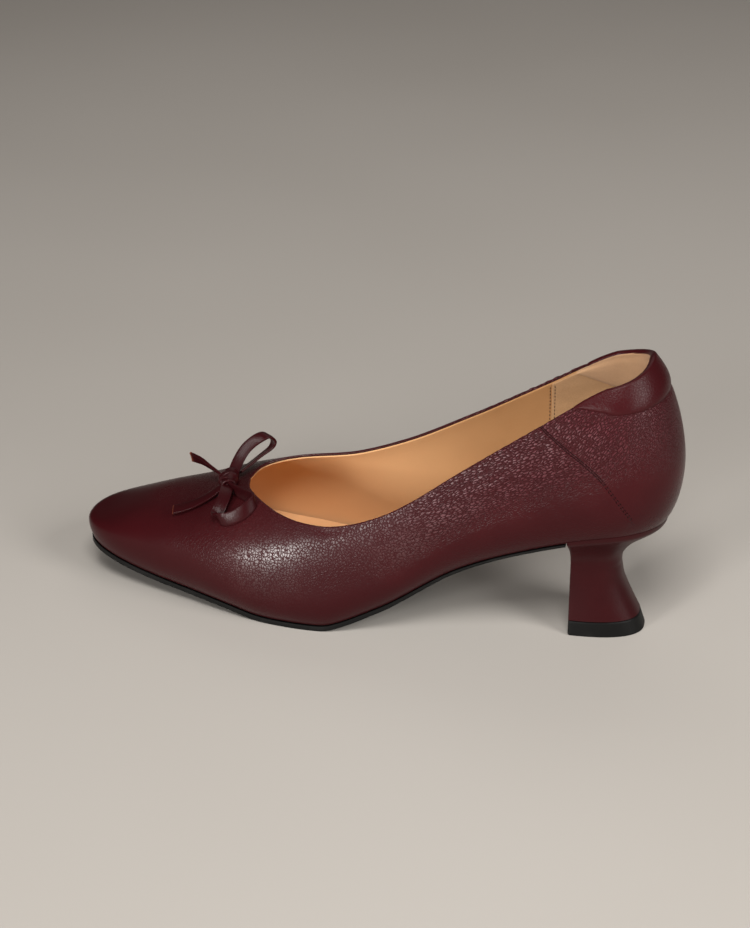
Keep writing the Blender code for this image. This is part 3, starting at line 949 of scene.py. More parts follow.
def nearest(points: Array, line: Array) -> tuple[Array, Array]:
    """Distance from each point to a line's points, and the index of the nearest one.

    Args:
        points: An array of places by 3.
        line: The line's points.

    Returns:
        The distances and the indices, in the layout of the places.
    """
    flat = points.reshape(-1, 3)
    best = np.full(len(flat), np.inf)
    index = np.zeros(len(flat), dtype=int)
    for step, point in enumerate(line):
        distance = np.linalg.norm(flat - point, axis=1)
        closer = distance < best
        best[closer] = distance[closer]
        index[closer] = step
    return best.reshape(points.shape[:-1]), index.reshape(points.shape[:-1])


class Bench:
    """Modelling steps, each by Blender's own operators."""

    @staticmethod
    def clear() -> None:
        """Deselect every object."""
        bpy.ops.object.select_all(action="DESELECT")

    @staticmethod
    def lay_grid(name: str, points: Array, marks: dict[str, Array] | None = None) -> Piece:
        """Add a grid primitive and lay it on a surface.

        Args:
            name: The piece's name.
            points: Columns by rows by 3; columns that coincide are merged.
            marks: Numbers to keep on the vertices, in the same layout.

        Returns:
            The new object, at the origin.
        """
        Bench.clear()
        count, rows = points.shape[:2]
        bpy.ops.mesh.primitive_grid_add(x_subdivisions=count - 1, y_subdivisions=rows - 1, size=1.0)
        piece = bpy.context.object
        piece.name = piece.data.name = name
        piece.data.vertices.foreach_set("co", points.transpose(1, 0, 2).astype(np.float32).ravel())
        for mark, numbers in (marks or {}).items():
            layer = piece.data.attributes.new(mark, "FLOAT", "POINT")
            layer.data.foreach_set("value", numbers.T.astype(np.float32).ravel())
        Bench.edit("remove_doubles", threshold=MERGE)
        return piece

    @staticmethod
    def edit(operator: str, **settings: object) -> None:
        """Run one edit-mode operator on the whole of the active mesh.

        Args:
            operator: Its name.
            settings: Its settings.
        """
        bpy.ops.object.mode_set(mode="EDIT")
        bpy.ops.mesh.select_all(action="SELECT")
        getattr(bpy.ops.mesh, operator)(**settings)
        bpy.ops.object.mode_set(mode="OBJECT")

    @staticmethod
    def apply(piece: Piece, kind: str, **settings: object) -> None:
        """Add a modifier and apply it.

        Args:
            piece: The object.
            kind: The modifier's type.
            settings: Its settings.
        """
        bpy.context.view_layer.objects.active = piece
        modifier = piece.modifiers.new(kind.lower(), kind)
        for name, value in settings.items():
            setattr(modifier, name, value)
        bpy.ops.object.modifier_apply(modifier=modifier.name)

    @staticmethod
    def bevel(piece: Piece, width: float, segments: int, angle: float = 50.0) -> None:
        """Round the edges that turn by more than an angle in degrees."""
        Bench.apply(piece, "BEVEL", width=width, segments=segments, limit_method="ANGLE",
                    angle_limit=math.radians(angle), use_clamp_overlap=True)

    @staticmethod
    def thicken(piece: Piece, thickness: float, offset: float, rounding: float, segments: int = 2) -> None:
        """Give a surface its thickness and round its rims."""
        Bench.apply(piece, "SOLIDIFY", thickness=thickness, offset=offset, use_even_offset=True)
        Bench.bevel(piece, rounding, segments)

    @staticmethod
    def cap_ends(piece: Piece) -> None:
        """Close a tube's open ends with faces and point every face outwards.

        Args:
            piece: The tube.
        """
        bpy.context.view_layer.objects.active = piece
        bpy.ops.object.mode_set(mode="EDIT")
        bpy.ops.mesh.select_all(action="DESELECT")
        bpy.ops.mesh.select_mode(type="EDGE")
        bpy.ops.mesh.select_non_manifold(extend=False)
        bpy.ops.mesh.edge_face_add()
        bpy.ops.mesh.select_all(action="SELECT")
        bpy.ops.mesh.normals_make_consistent(inside=False)
        bpy.ops.object.mode_set(mode="OBJECT")

    @staticmethod
    def volume(piece: Piece) -> float:
        """A closed piece's volume, below 0 where its faces point inwards.

        Args:
            piece: The object.

        Returns:
            The volume in cubic metres.
        """
        mesh = piece.data
        mesh.calc_loop_triangles()
        corners = np.empty(3 * len(mesh.loop_triangles), dtype=np.int32)
        places = np.empty(3 * len(mesh.vertices), dtype=np.float32)
        mesh.loop_triangles.foreach_get("vertices", corners)
        mesh.vertices.foreach_get("co", places)
        first, second, third = places.astype(float).reshape(-1, 3)[corners.reshape(-1, 3)].transpose(1, 0, 2)
        return float(np.sum(first * np.cross(second, third)) / 6.0)

    @staticmethod
    def join(name: str, pieces: list[Piece]) -> Piece:
        """Join pieces into one.

        Args:
            name: The new name.
            pieces: The objects.

        Returns:
            The joined object.
        """
        Bench.clear()
        for piece in pieces:
            piece.select_set(True)
        bpy.context.view_layer.objects.active = pieces[0]
        bpy.ops.object.join()
        pieces[0].name = pieces[0].data.name = name
        return pieces[0]

    @staticmethod
    def dress(piece: Piece, material: Material, slot: Slot, *nodes: str, smooth: float = 40.0) -> Piece:
        """Finish a piece: shade it, give it its material and set it on the frame.

        Args:
            piece: The object.
            material: Its finish.
            slot: The record's slot that it follows; not used.
            nodes: The solids that it stands for.
            smooth: Angle in degrees past which an edge stays sharp.

        Returns:
            The same object.
        """
        Bench.clear()
        piece.select_set(True)
        bpy.context.view_layer.objects.active = piece
        if Bench.volume(piece) < 0.0:
            Bench.edit("flip_normals")
        bpy.ops.object.shade_smooth_by_angle(angle=math.radians(smooth))
        piece.data.materials.clear()
        piece.data.materials.append(material)
        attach(piece, BODY)
        if nodes:
            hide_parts(*nodes)
        LOG.info("%s: %d faces", piece.name, len(piece.data.polygons))
        return piece


class Crease(NamedTuple):
    """A soft ridge, or a trough where height is below 0, in millimetres.

    Its path gives distances from the back and depths below the topline.
    """

    side: Side
    path: tuple
    width: float
    height: float


SEAM_PATH = ((70.0, 0.0), (61.4, 13.1), (52.4, 25.4), (44.4, 36.4), (38.4, 45.8), (33.2, 54.3))
TAB_EDGE = ((0.0, 13.2), (20.0, 12.4), (34.6, 10.9), (46.7, 8.0), (54.0, 3.2), (58.0, 0.3))
PAD_EDGE = ((0.0, 21.0), (30.0, 19.6), (48.2, 16.4), (51.9, 12.9), (57.9, 6.3), (62.5, 0.6))
CREASES = (
    Crease(Side.LATERAL, ((62.0, 4.0), (54.3, 11.0), (46.5, 16.5), (36.0, 21.0)), 2.4, 0.30),
    Crease(Side.LATERAL, ((86.0, 4.2), (79.0, 5.4), (72.7, 8.0)), 1.1, 0.18),
    Crease(Side.LATERAL, ((90.0, 8.0), (82.7, 9.4), (74.0, 12.4)), 1.2, 0.20),
    Crease(Side.LATERAL, ((87.7, 13.0), (80.2, 14.2), (70.2, 18.0)), 1.2, 0.16),
    Crease(Side.LATERAL, ((66.6, 5.4), (57.0, 13.0), (51.9, 19.0)), 1.2, 0.18),
    Crease(Side.LATERAL, ((166.8, 1.5), (157.4, 2.4), (148.0, 1.6)), 1.4, -0.22),
    Crease(Side.MEDIAL, ((62.0, 4.0), (54.3, 11.0), (46.5, 16.5), (36.0, 21.0)), 2.4, 0.28),
    Crease(Side.MEDIAL, ((88.0, 5.0), (81.0, 6.6), (73.0, 9.6)), 1.2, 0.18),
    Crease(Side.MEDIAL, ((92.0, 10.5), (84.0, 11.8), (74.0, 15.6)), 1.2, 0.16),
)


@dataclass
class Upper:
    """The grained leather wall with its folded topline, side seams and creases."""

    last: Last
    leather: float = 1.1 * MM
    rounding: float = 0.54 * MM
    steps: tuple = (148, 64, 14, 58)
    rows: int = 76
    lap: float = 0.36 * MM
    lap_reach: float = 5.0 * MM
    lap_edge: float = 0.7 * MM
    tab_groove: float = 0.40 * MM
    tab_groove_width: float = 0.9 * MM
    pucker: float = 0.16 * MM
    pucker_span: tuple = (0.060, 0.106)
    pucker_depth: float = 3.0 * MM
    pucker_waves: tuple = (1900.0, 1130.0)
    crease_points: int = 90
    # Fades of the marks: where each starts and over what run, as shares of the length or of the climb.
    toe_fade: tuple = (0.74, 0.15)
    heel_fade: tuple = (0.14, -0.10)
    stretch_fade: tuple = (0.50, -0.16)
    grain_foot: tuple = (0.16, 0.30)
    grain_foot_rise: float = 0.18
    # The next fade sets where painted shade darkens the foot of the wall.
    dark_foot: tuple = (0.04, 0.42)
    # The next fade sets where the painted highlight on the crests starts above the foot of the wall.
    ridge_foot: tuple = (0.40, 0.26)
    toe_grain: float = 0.14
    foot_grain: float = 0.12
    heel_smooth: float = 0.45
    # Polish: its share all over, over the ball and on the quarter, with centre and width of each place.
    polish: tuple = (0.08, 0.92, 0.85)
    ball: tuple = (0.658, 0.064)
    quarter: tuple = (0.400, 0.085)
    quarter_climb: tuple = (0.58, 0.18)

    def seam(self, side: Side, count: int = 200) -> tuple[Array, Array]:
        """A side seam's line, eased over the widest line.

        Args:
            side: The side of the foot.
            count: How many points to give.

        Returns:
            The points and the outward normals there.
        """
        line, normals = self.last.trace(side, SEAM_PATH, count)
        reach = count // 6
        before, after = 2.0 * line[0] - line[reach:0:-1], 2.0 * line[-1] - line[-2:-reach - 2:-1]
        padded = np.concatenate([before, line, after])
        window = np.hanning(2 * reach + 3)[1:-1]
        eased = [np.convolve(axis, window / window.sum(), mode="valid") for axis in padded.T]
        return np.stack(eased, axis=-1), normals

    def relief(self, points: Array, strips: Strips) -> tuple[Array, Array, Array]:
        """How far creases and seams move the leather.

        Args:
            points: The plain outer face.
            strips: Its meridians.

        Returns:
            Heights along the normals, signed distances from the side seam, above 0 behind it, and the run
            along it to the nearest place.
        """
        heights = np.zeros(points.shape[:2])
        distances = np.ones(points.shape[:2])
        runs = np.zeros(points.shape[:2])
        sides = np.broadcast_to(strips.side[:, None], heights.shape)
        grooves = [Crease(side, TAB_EDGE, self.tab_groove_width / MM, -self.tab_groove / MM) for side in Side]
        for crease in [*CREASES, *grooves]:
            line, _ = self.last.trace(crease.side, crease.path, self.crease_points)
            away = nearest(points, line)[0] / (crease.width * MM)
            heights += np.where(sides == crease.side.value, crease.height * MM * np.exp(-0.5 * away**2), 0.0)
        for side in Side:
            line, normals = self.seam(side)
            away, index = nearest(points, line)
            behind = unit(np.cross(normals, np.gradient(line, axis=0)) * side.value)
            signed = np.sum((points - line[index]) * behind[index], axis=-1)
            raised = self.lap * ease(1.0 - away / self.lap_reach) * ease(0.5 - signed / self.lap_edge)
            here = sides == side.value
            heights += np.where(here, raised, 0.0)
            distances = np.where(here, np.where(signed < 0.0, -away, away), distances)
            beyond = np.sum((points - line[index]) * unit(np.gradient(line, axis=0))[index], axis=-1)
            runs = np.where(here, lengths_along(line[None])[0][index] + beyond, runs)
        return heights, distances, runs

    def ripple(self, strips: Strips, depth: Array) -> Array:
        """Small puckers of the folded topline on the quarters.

        Args:
            strips: The meridians.
            depth: Depths of their points below the topline.

        Returns:
            Heights along the normals.
        """
        near, far = self.pucker_span
        span = ease((strips.run - near) / (0.1 * near)) * ease((far - strips.run) / (0.3 * far))
        short, long = self.pucker_waves
        wave = np.sin(strips.run * short) + 0.7 * np.sin(strips.run * long + strips.side)
        return self.pucker * (span * wave)[:, None] * ease(1.0 - depth / self.pucker_depth)

    def marks(self, points: Array) -> dict[str, Array]:
        """Where the grain is full, polished by the tread and stretched, where the wall is low, for painted
        shade, and where the quarter's crests get a painted highlight.

        Args:
            points: The plain outer face.

        Returns:
            The attributes that the leather reads, apart from the seam's.
        """
        station = (points[..., 0] - self.last.shift[0]) / self.last.length
        climb = np.linspace(0.0, 1.0, points.shape[1])[None, :]
        toe = 1.0 - fade(station, *self.toe_fade)
        heel = 1.0 - self.heel_smooth * fade(station, *self.heel_fade)
        stretch = fade(station, *self.stretch_fade)
        foot = fade(climb - self.grain_foot_rise * stretch, *self.grain_foot)
        grain = heel * (self.toe_grain + (1.0 - self.toe_grain) * toe)
        grain = grain * (self.foot_grain + (1.0 - self.foot_grain) * foot)
        everywhere, ball, quarter = self.polish
        shine = everywhere + ball * hump(station, *self.ball)
        shine += quarter * hump(station, *self.quarter) * hump(climb, *self.quarter_climb)
        # Painted shade: low is 1 at the feather line and fades out up the wall, darkening the leather there.
        low = np.broadcast_to(1.0 - fade(climb, *self.dark_foot), grain.shape)
        # The crests of the quarter's drawn-out grain get a painted highlight, kept off the foot of the wall.
        return {"grain": grain, "polish": grain * np.minimum(1.0, shine), "low": low, "stretch": stretch,
                "painted_crest_highlight": stretch * fade(climb, *self.ridge_foot) * heel}

    def build(self, finish: Material) -> Piece:
        """Model the leather wall.

        Args:
            finish: The grained leather.

        Returns:
            The piece.
        """
        strips = self.last.ring(self.steps)
        ends = np.zeros(len(strips.run))
        points = self.last.face(strips, ends, ends + 1.0, self.rows)
        along = lengths_along(points)
        heights, seam, seam_run = self.relief(points, strips)
        heights += self.ripple(strips, along[:, -1:] - along)
        heights[-1], seam[-1] = heights[0], seam[0]
        shape = points + face_normals(points, True) * heights[..., None]
        marks = {**self.marks(points), "seam": seam, "seam_run": seam_run}
        piece = Bench.lay_grid("upper_leather", shape, marks)
        Bench.thicken(piece, self.leather, -1.0, self.rounding, 3)
        return Bench.dress(piece, finish, Slot.UPPER, "upper", smooth=SOFT_ANGLE)


@dataclass
class Lining:
    """Tan lining inside the leather, with the brushed heel grip behind its side stitching."""

    last: Last
    inset: float = 1.12 * MM
    thickness: float = 0.62 * MM
    below_edge: float = 0.75 * MM
    foot_share: float = 0.03
    toe_share: float = 0.55
    toe_from: float = 0.200
    toe_run: float = 0.070
    steps: tuple = (92, 36, 8, 36)
    rows: int = 36
    grip_reach: float = 72.0 * MM
    grip_count: int = 84
    grip_thickness: float = 0.5 * MM
    grip_below_edge: float = 1.05 * MM
    clearance: float = 0.03 * MM
    rounding: float = 0.2 * MM

    def panel(self, strips: Strips, inset: float, top: float, closed: bool) -> Array:
        """Points of an inner face, from near the feather line to a depth below the topline.

        Args:
            strips: The meridians.
            inset: How far inside the outer face it lies.
            top: The depth where it ends.
            closed: Whether the last meridian is the first again.

        Returns:
            An array of meridians by rows by 3.
        """
        high = self.last.share_at_depth(strips, np.full((len(strips.run), 1), top))[:, 0]
        low = self.foot_share + self.toe_share * ease((strips.run - self.toe_from) / self.toe_run)
        points = self.last.face(strips, low, high, self.rows)
        return points - face_normals(points, closed) * inset

    def build(self, tan: Material, brushed: Material) -> list[Piece]:
        """Model the lining and the heel grip.

        Args:
            tan: The lining's finish.
            brushed: The grip's finish.

        Returns:
            The pieces.
        """
        ring = self.last.ring(self.steps)
        lining = Bench.lay_grid("lining", self.panel(ring, self.inset, self.below_edge, True))
        Bench.thicken(lining, self.thickness, -1.0, self.rounding)
        inset = self.inset + self.thickness + self.clearance
        band = self.last.band(self.grip_reach, self.grip_count)
        grip = Bench.lay_grid("heel_grip", self.panel(band, inset, self.grip_below_edge, False))
        Bench.thicken(grip, self.grip_thickness, -1.0, self.rounding)
        return [Bench.dress(piece, finish, Slot.SOCK, smooth=SOFT_ANGLE)
                for piece, finish in ((lining, tan), (grip, brushed))]


@dataclass
class Collar:
    """The padded back of the collar: a puffed leather tab outside and a brushed pad inside."""

    last: Last
    count: int = 100
    tab_rows: int = 22
    rim_rows: int = 12
    pad_rows: int = 24
    puff: float = 0.78 * MM
    rim_puff: float = 0.48 * MM
    inner_puff: float = 1.5 * MM
    tuck: float = 0.25 * MM
    seat: float = 0.10 * MM
    leather: float = 0.6 * MM
    lining: float = 2.4 * MM
    rim_turn: float = math.radians(150.0)
    pad_turn: float = math.radians(125.0)
    pad_rim_rows: int = 6
    fullness: float = 0.5
    swell: tuple = (2.2, 0.6)
    tab_rise: float = 0.42
    tab_settle: tuple = (0.4, 0.6)
    pad_rise: float = 0.4
    pad_settle: tuple = (0.5, 0.5)
    pad_sink: tuple = (0.75, 0.25)
    pad_share: float = 0.9
    pad_leather: float = 0.6 * MM
    tip_depth: float = 0.9 * MM
    tip_reach: float = 0.2
    hem: float = 0.2 * MM
    grain: float = 0.45
    polish: float = 0.12
    fill: float = 0.7

    def crescent(self, edge: tuple) -> tuple[Strips, Array, Array, Array]:
        """Meridians of a crescent on the topline.

        Args:
            edge: Its lower edge, as distances from the back and depths in millimetres.

        Returns:
            The meridians, the shares of the wall where it starts and where its rim does, and its fullness,
            0 at the tips and 1 at the back.
        """
        runs, depths = np.array(edge).T * MM
        strips = self.last.band(runs[-1], self.count)
        full = np.maximum(0.0, np.cos(strips.run / runs[-1] * math.pi / 2.0)) ** self.fullness
        drop = self.last.wall_thickness / 2.0 * (1.0 - full)
        depth = np.maximum(hermite(strips.run, runs, depths), drop + self.tip_depth)
        low, high = (self.last.share_at_depth(strips, down[:, None]) for down in (depth, drop))
        return strips, low, high, full

    def rim(self, strips: Strips, high: Array, full: Array, turns: Array) -> Array:
        """Points round the rim, from its outer side (0) over its top to its inner side (half a turn).

        Args:
            strips: The meridians.
            high: The share of the wall where the rim starts on each one.
            full: The padding's fullness there.
            turns: The angles of the points, for all meridians or a row for each.

        Returns:
            An array of meridians by turns by 3.
        """
        near = self.last.wall(strips, high - np.linspace(0.03, 0.0, 4))
        outward = face_normals(near, False)[:, -1]
        up = unit(near[:, -1] - near[:, -2])
        half = self.last.wall_thickness / 2.0
        centre = near[:, -1] - outward * half
        radius = half + self.seat + self.rim_puff * full
        turns = np.broadcast_to(turns, (len(near), np.shape(turns)[-1]))[..., None]
        ring = outward[:, None] * np.cos(turns) + up[:, None] * np.sin(turns)
        return centre[:, None] + ring * radius[:, None, None]

    def bulge(self, share: Array, rise: float) -> Array:
        """The padding's rise from its lower edge, full from a share of its height on."""
        power, root = self.swell
        return (1.0 - (1.0 - np.minimum(share / rise, 1.0)) ** power) ** root

    def tab(self, leather: Material) -> Piece:
        """Model the leather tab, from the groove at its lower edge over the rim.

        Args:
            leather: The grained leather.

        Returns:
            The piece.
        """
        strips, low, high, full = self.crescent(TAB_EDGE)
        share = np.linspace(0.0, 1.0, self.tab_rows + 1)
        points = self.last.wall(strips, low + (high - low) * share[None, :])
        bulge = self.bulge(share, self.tab_rise)
        settle = self.puff + (self.rim_puff - self.puff) * fade(share, *self.tab_settle)
        lift = (self.seat + full[:, None] * settle[None, :]) * bulge[None, :]
        lift = lift - self.tuck * (1.0 - bulge)[None, :]
        face = points + face_normals(points, False) * lift[..., None]
        over = self.rim(strips, high, full, np.linspace(0.0, self.rim_turn, self.rim_rows + 1)[1:])
        shape = np.concatenate([face, over], axis=1)
        grain = np.full(shape.shape[:2], self.grain)
        # The tab is not stretched, gets no painted shade at its foot and no painted highlight on its crests.
        plain = {name: np.zeros_like(grain) for name in ("low", "stretch", "painted_crest_highlight", "seam_run")}
        marks = {"grain": grain, "polish": self.polish * grain, "seam": np.ones_like(grain), **plain}
        piece = Bench.lay_grid("heel_tab_leather", shape, marks)
        Bench.thicken(piece, self.leather, -1.0, self.hem)
        return Bench.dress(piece, leather, Slot.UPPER, "heel_tab", smooth=SOFT_ANGLE)

    def pad(self, brushed: Material) -> Piece:
        """Model the pad inside the back, from the tab's edge down to its own lower edge.

        Args:
            brushed: The pad's finish.

        Returns:
            The piece.
        """
        strips, low, high, full = self.crescent(PAD_EDGE)
        share = np.linspace(1.0, 0.0, self.pad_rows + 1)
        points = self.last.wall(strips, low + (high - low) * share[None, :])
        inward = face_normals(points, False)
        settle = self.inner_puff + (self.rim_puff - self.inner_puff) * fade(share, *self.pad_settle)
        rise = (settle * self.bulge(share, self.pad_rise))[None, :]
        rim_sink = self.last.wall_thickness + self.seat
        sink = self.lining + (rim_sink - self.lining) * fade(share, *self.pad_sink)
        inner = points + inward * (sink[None, :] + full[:, None] * rise)[..., None]
        reach = (math.pi - self.pad_turn) * np.linspace(1.0, 0.0, self.pad_rim_rows + 1)
        turns = math.pi - np.maximum(full, self.tip_reach)[:, None] * reach[None, :]
        top = self.rim(strips, high, self.pad_share * full, turns)
        piece = Bench.lay_grid("collar_pad", np.concatenate([top, inner[:, 1:]], axis=1))
        Bench.thicken(piece, self.pad_leather, -1.0, self.hem)
        return Bench.dress(piece, brushed, Slot.SOCK, smooth=SOFT_ANGLE)

    def build(self, leather: Material, brushed: Material) -> list[Piece]:
        """Model the tab and the inner pad, both softly filled.

        Args:
            leather: The tab's finish.
            brushed: The pad's finish.

        Returns:
            The pieces.
        """
        made = [self.tab(leather), self.pad(brushed)]
        return made


@dataclass
class Stitching:
    """Rows of single stitches: side seams outside and the heel grip's double row inside."""

    last: Last
    upper: Upper
    lining: Lining
    length: float = 1.25 * MM
    pitch: float = 1.75 * MM
    thickness: float = 0.42 * MM
    seam_from: float = 0.45
    row_apart: float = 1.9 * MM
    row_depths: tuple = (2.4, 20.0, 36.0)
    row_points: int = 90
    ahead: float = 0.1 * MM
    row_shift: float = 0.1
    pinch: float = 0.55
    sag: float = 0.35
    proud: float = 0.02 * MM
    sunk: float = 0.05 * MM

    def stitch(self) -> Piece:
        """One stitch lying along X: a cube drawn out, pinched at its ends and rounded.

        Returns:
            The stitch.
        """
        Bench.clear()
        bpy.ops.mesh.primitive_cube_add(size=1.0)
        piece = bpy.context.object
        Bench.edit("subdivide", number_cuts=2)
        for vertex in piece.data.vertices:
            end = (2.0 * vertex.co.x) ** 2
            pinch = 1.0 - self.pinch * end
            vertex.co = (vertex.co.x * self.length, vertex.co.y * self.thickness * pinch,
                         (vertex.co.z * pinch - self.sag * end) * self.thickness)
        Bench.apply(piece, "SUBSURF", levels=1, render_levels=1)
        return piece

    def row(self, line: Array, normals: Array, proud: float) -> list[Piece]:
        """Copies of the stitch along a line.

        Args:
            line: The line's points.
            normals: The outward normals there.
            proud: How far the stitches stand off the line.

        Returns:
            The copies.
        """
        along = lengths_along(line[None])[0]
        model = self.stitch()
        shape = np.array([vertex.co for vertex in model.data.vertices])
        copies = []
        for run in np.arange(self.pitch / 2.0, along[-1], self.pitch):
            point, ahead = (read_line(place, along, line) for place in (run, run + self.ahead))
            normal = unit(read_line(run, along, normals))
            way = unit(ahead - point)
            copy = model.copy()
            copy.data = model.data.copy()
            bpy.context.collection.objects.link(copy)
            placed = shape @ np.stack([way, np.cross(normal, way), normal]) + point + normal * proud
            copy.data.vertices.foreach_set("co", placed.astype(np.float32).ravel())
            copies.append(copy)
        bpy.data.objects.remove(model)
        return copies

    def build(self, outer: Material, inner: Material) -> list[Piece]:
        """Model both kinds of stitching.

        Args:
            outer: The seams' thread.
            inner: The grip's thread.

        Returns:
            The pieces.
        """
        outside, inside = [], []
        for side in Side:
            line, normals = self.upper.seam(side)
            first = int(self.seam_from * len(line))
            outside += self.row(line[first:], normals[first:], self.proud)
            for behind in (-0.5, 0.5):
                run = self.lining.grip_reach / MM - self.row_apart / MM * (behind + self.row_shift)
                path = tuple((run, depth) for depth in self.row_depths)
                line, normals = self.last.trace(side, path, self.row_points)
                sink = self.lining.inset + self.lining.thickness
                sink += self.lining.grip_thickness if behind > 0.0 else 0.0
                inside += self.row(line - normals * (sink + self.sunk), -normals, 0.0)
        return [Bench.dress(Bench.join("seam_stitches", outside), outer, Slot.UPPER),
                Bench.dress(Bench.join("grip_stitches", inside), inner, Slot.SOCK)]


@dataclass
class Bottom:
    """The outsole, thin under the arch, and the sock on top of it."""

    last: Last
    steps: tuple = (150, 64, 16, 56)
    across: int = 28
    lip: float = 0.5 * MM
    edge_round: float = 0.45 * MM
    arch_edge: float = 1.0 * MM
    arch_from: float = 0.52
    arch_run: float = 0.28
    insole: float = 3.4 * MM
    inset: float = 2.4 * MM
    sock_reach: float = 0.80
    dome: float = 4.3 * MM
    dome_power: int = 6
    sock_round: float = 0.5 * MM
    breast_place: float = 2.0
    back_place: float = 4.0

    def deck(self, stop: float, reach: float, inset: float) -> Array:
        """A sheet across the feather line, from the toe to a place near the heel.

        Args:
            stop: The place where it ends.
            reach: How far its edge goes out, as a share of the wall's tuck.
            inset: How far its edge then comes back in.

        Returns:
            Points along the shoe by points across it by 3.
        """
        halves = []
        for side in Side:
            strips = self.last.half_loop(side, self.steps)
            strips = strips.pick(strips.place <= stop + MERGE)
            foot = self.last.wall(strips, np.array([0.0]))[:, 0, :2]
            halves.append(foot - strips.inward * (reach * strips.tuck - inset)[:, None])
        share = np.linspace(0.0, 1.0, self.across + 1)[None, :, None]
        plan = halves[0][:, None] * (1.0 - share) + halves[1][:, None] * share
        height = self.last.feather(plan[..., 0] - self.last.shift[0])
        return np.concatenate([plan, height[..., None]], axis=-1)

    def slab(self, name: str, top: Array, low: Array, rounding: float) -> Piece:
        """A flat solid: its top, its underside and the edge between them.

        Args:
            name: The piece's name.
            top: Points of its top.
            low: Points of its underside.
            rounding: The radius of its edges.

        Returns:
            The piece.
        """
        around = np.concatenate([top, low[:, ::-1], top[:, :1]], axis=1)
        piece = Bench.lay_grid(name, around)
        Bench.cap_ends(piece)
        Bench.bevel(piece, rounding, 3)
        return piece

    def build(self, rubber: Material, sock: Material) -> list[Piece]:
        """Model the outsole and the insole.

        Args:
            rubber: The outsole's finish.
            sock: The insole's finish.

        Returns:
            The pieces.
        """
        top = self.deck(self.breast_place, 0.0, -self.lip)
        top[..., 2] -= self.last.gap + self.last.turn_under
        station = (top[..., 0] - self.last.shift[0]) / self.last.length
        edge = self.last.sole - self.last.turn_under
        thickness = edge + (self.arch_edge - edge) * ease((self.arch_from - station) / self.arch_run)
        low = top.copy()
        low[..., 2] -= thickness
        outsole = self.slab("outsole_rubber", top, low, self.edge_round)
        rest, under = (self.deck(self.back_place, reach, self.inset) for reach in (self.sock_reach, 0.0))
        share = np.linspace(-1.0, 1.0, self.across + 1)
        under[..., 2] += self.last.gap / 2.0
        rest[..., 2] = under[..., 2] + self.insole + self.dome * share[None, :] ** self.dome_power
        insole = self.slab("sock", rest, under, self.sock_round)
        return [Bench.dress(outsole, rubber, Slot.SOLE, "outsole"),
                Bench.dress(insole, sock, Slot.SOCK, "insole")]


class Stem(NamedTuple):
    """A level section of the heel: shares of the heel height and of the length."""

    height: float
    back: float
    half_width: float


class Flare(NamedTuple):
    """How far the heel has gone from the seat's outline (0) to the neck's (1) at a share of the drop."""

    drop: float
    blend: float


HEEL_FLARE = (Flare(0.00, 0.00), Flare(0.11, 0.05), Flare(0.24, 0.26), Flare(0.38, 0.51), Flare(0.58, 0.79),
              Flare(0.78, 0.96), Flare(1.00, 1.00))
HEEL_STEM = (Stem(0.545, 0.0894, 0.0508), Stem(0.420, 0.0841, 0.0517), Stem(0.276, 0.0711, 0.0545),
             Stem(0.1295, 0.0553, 0.0585))
LIFT_STEM = (Stem(0.1238, 0.0553, 0.0585), Stem(0.0, 0.0455, 0.0606))


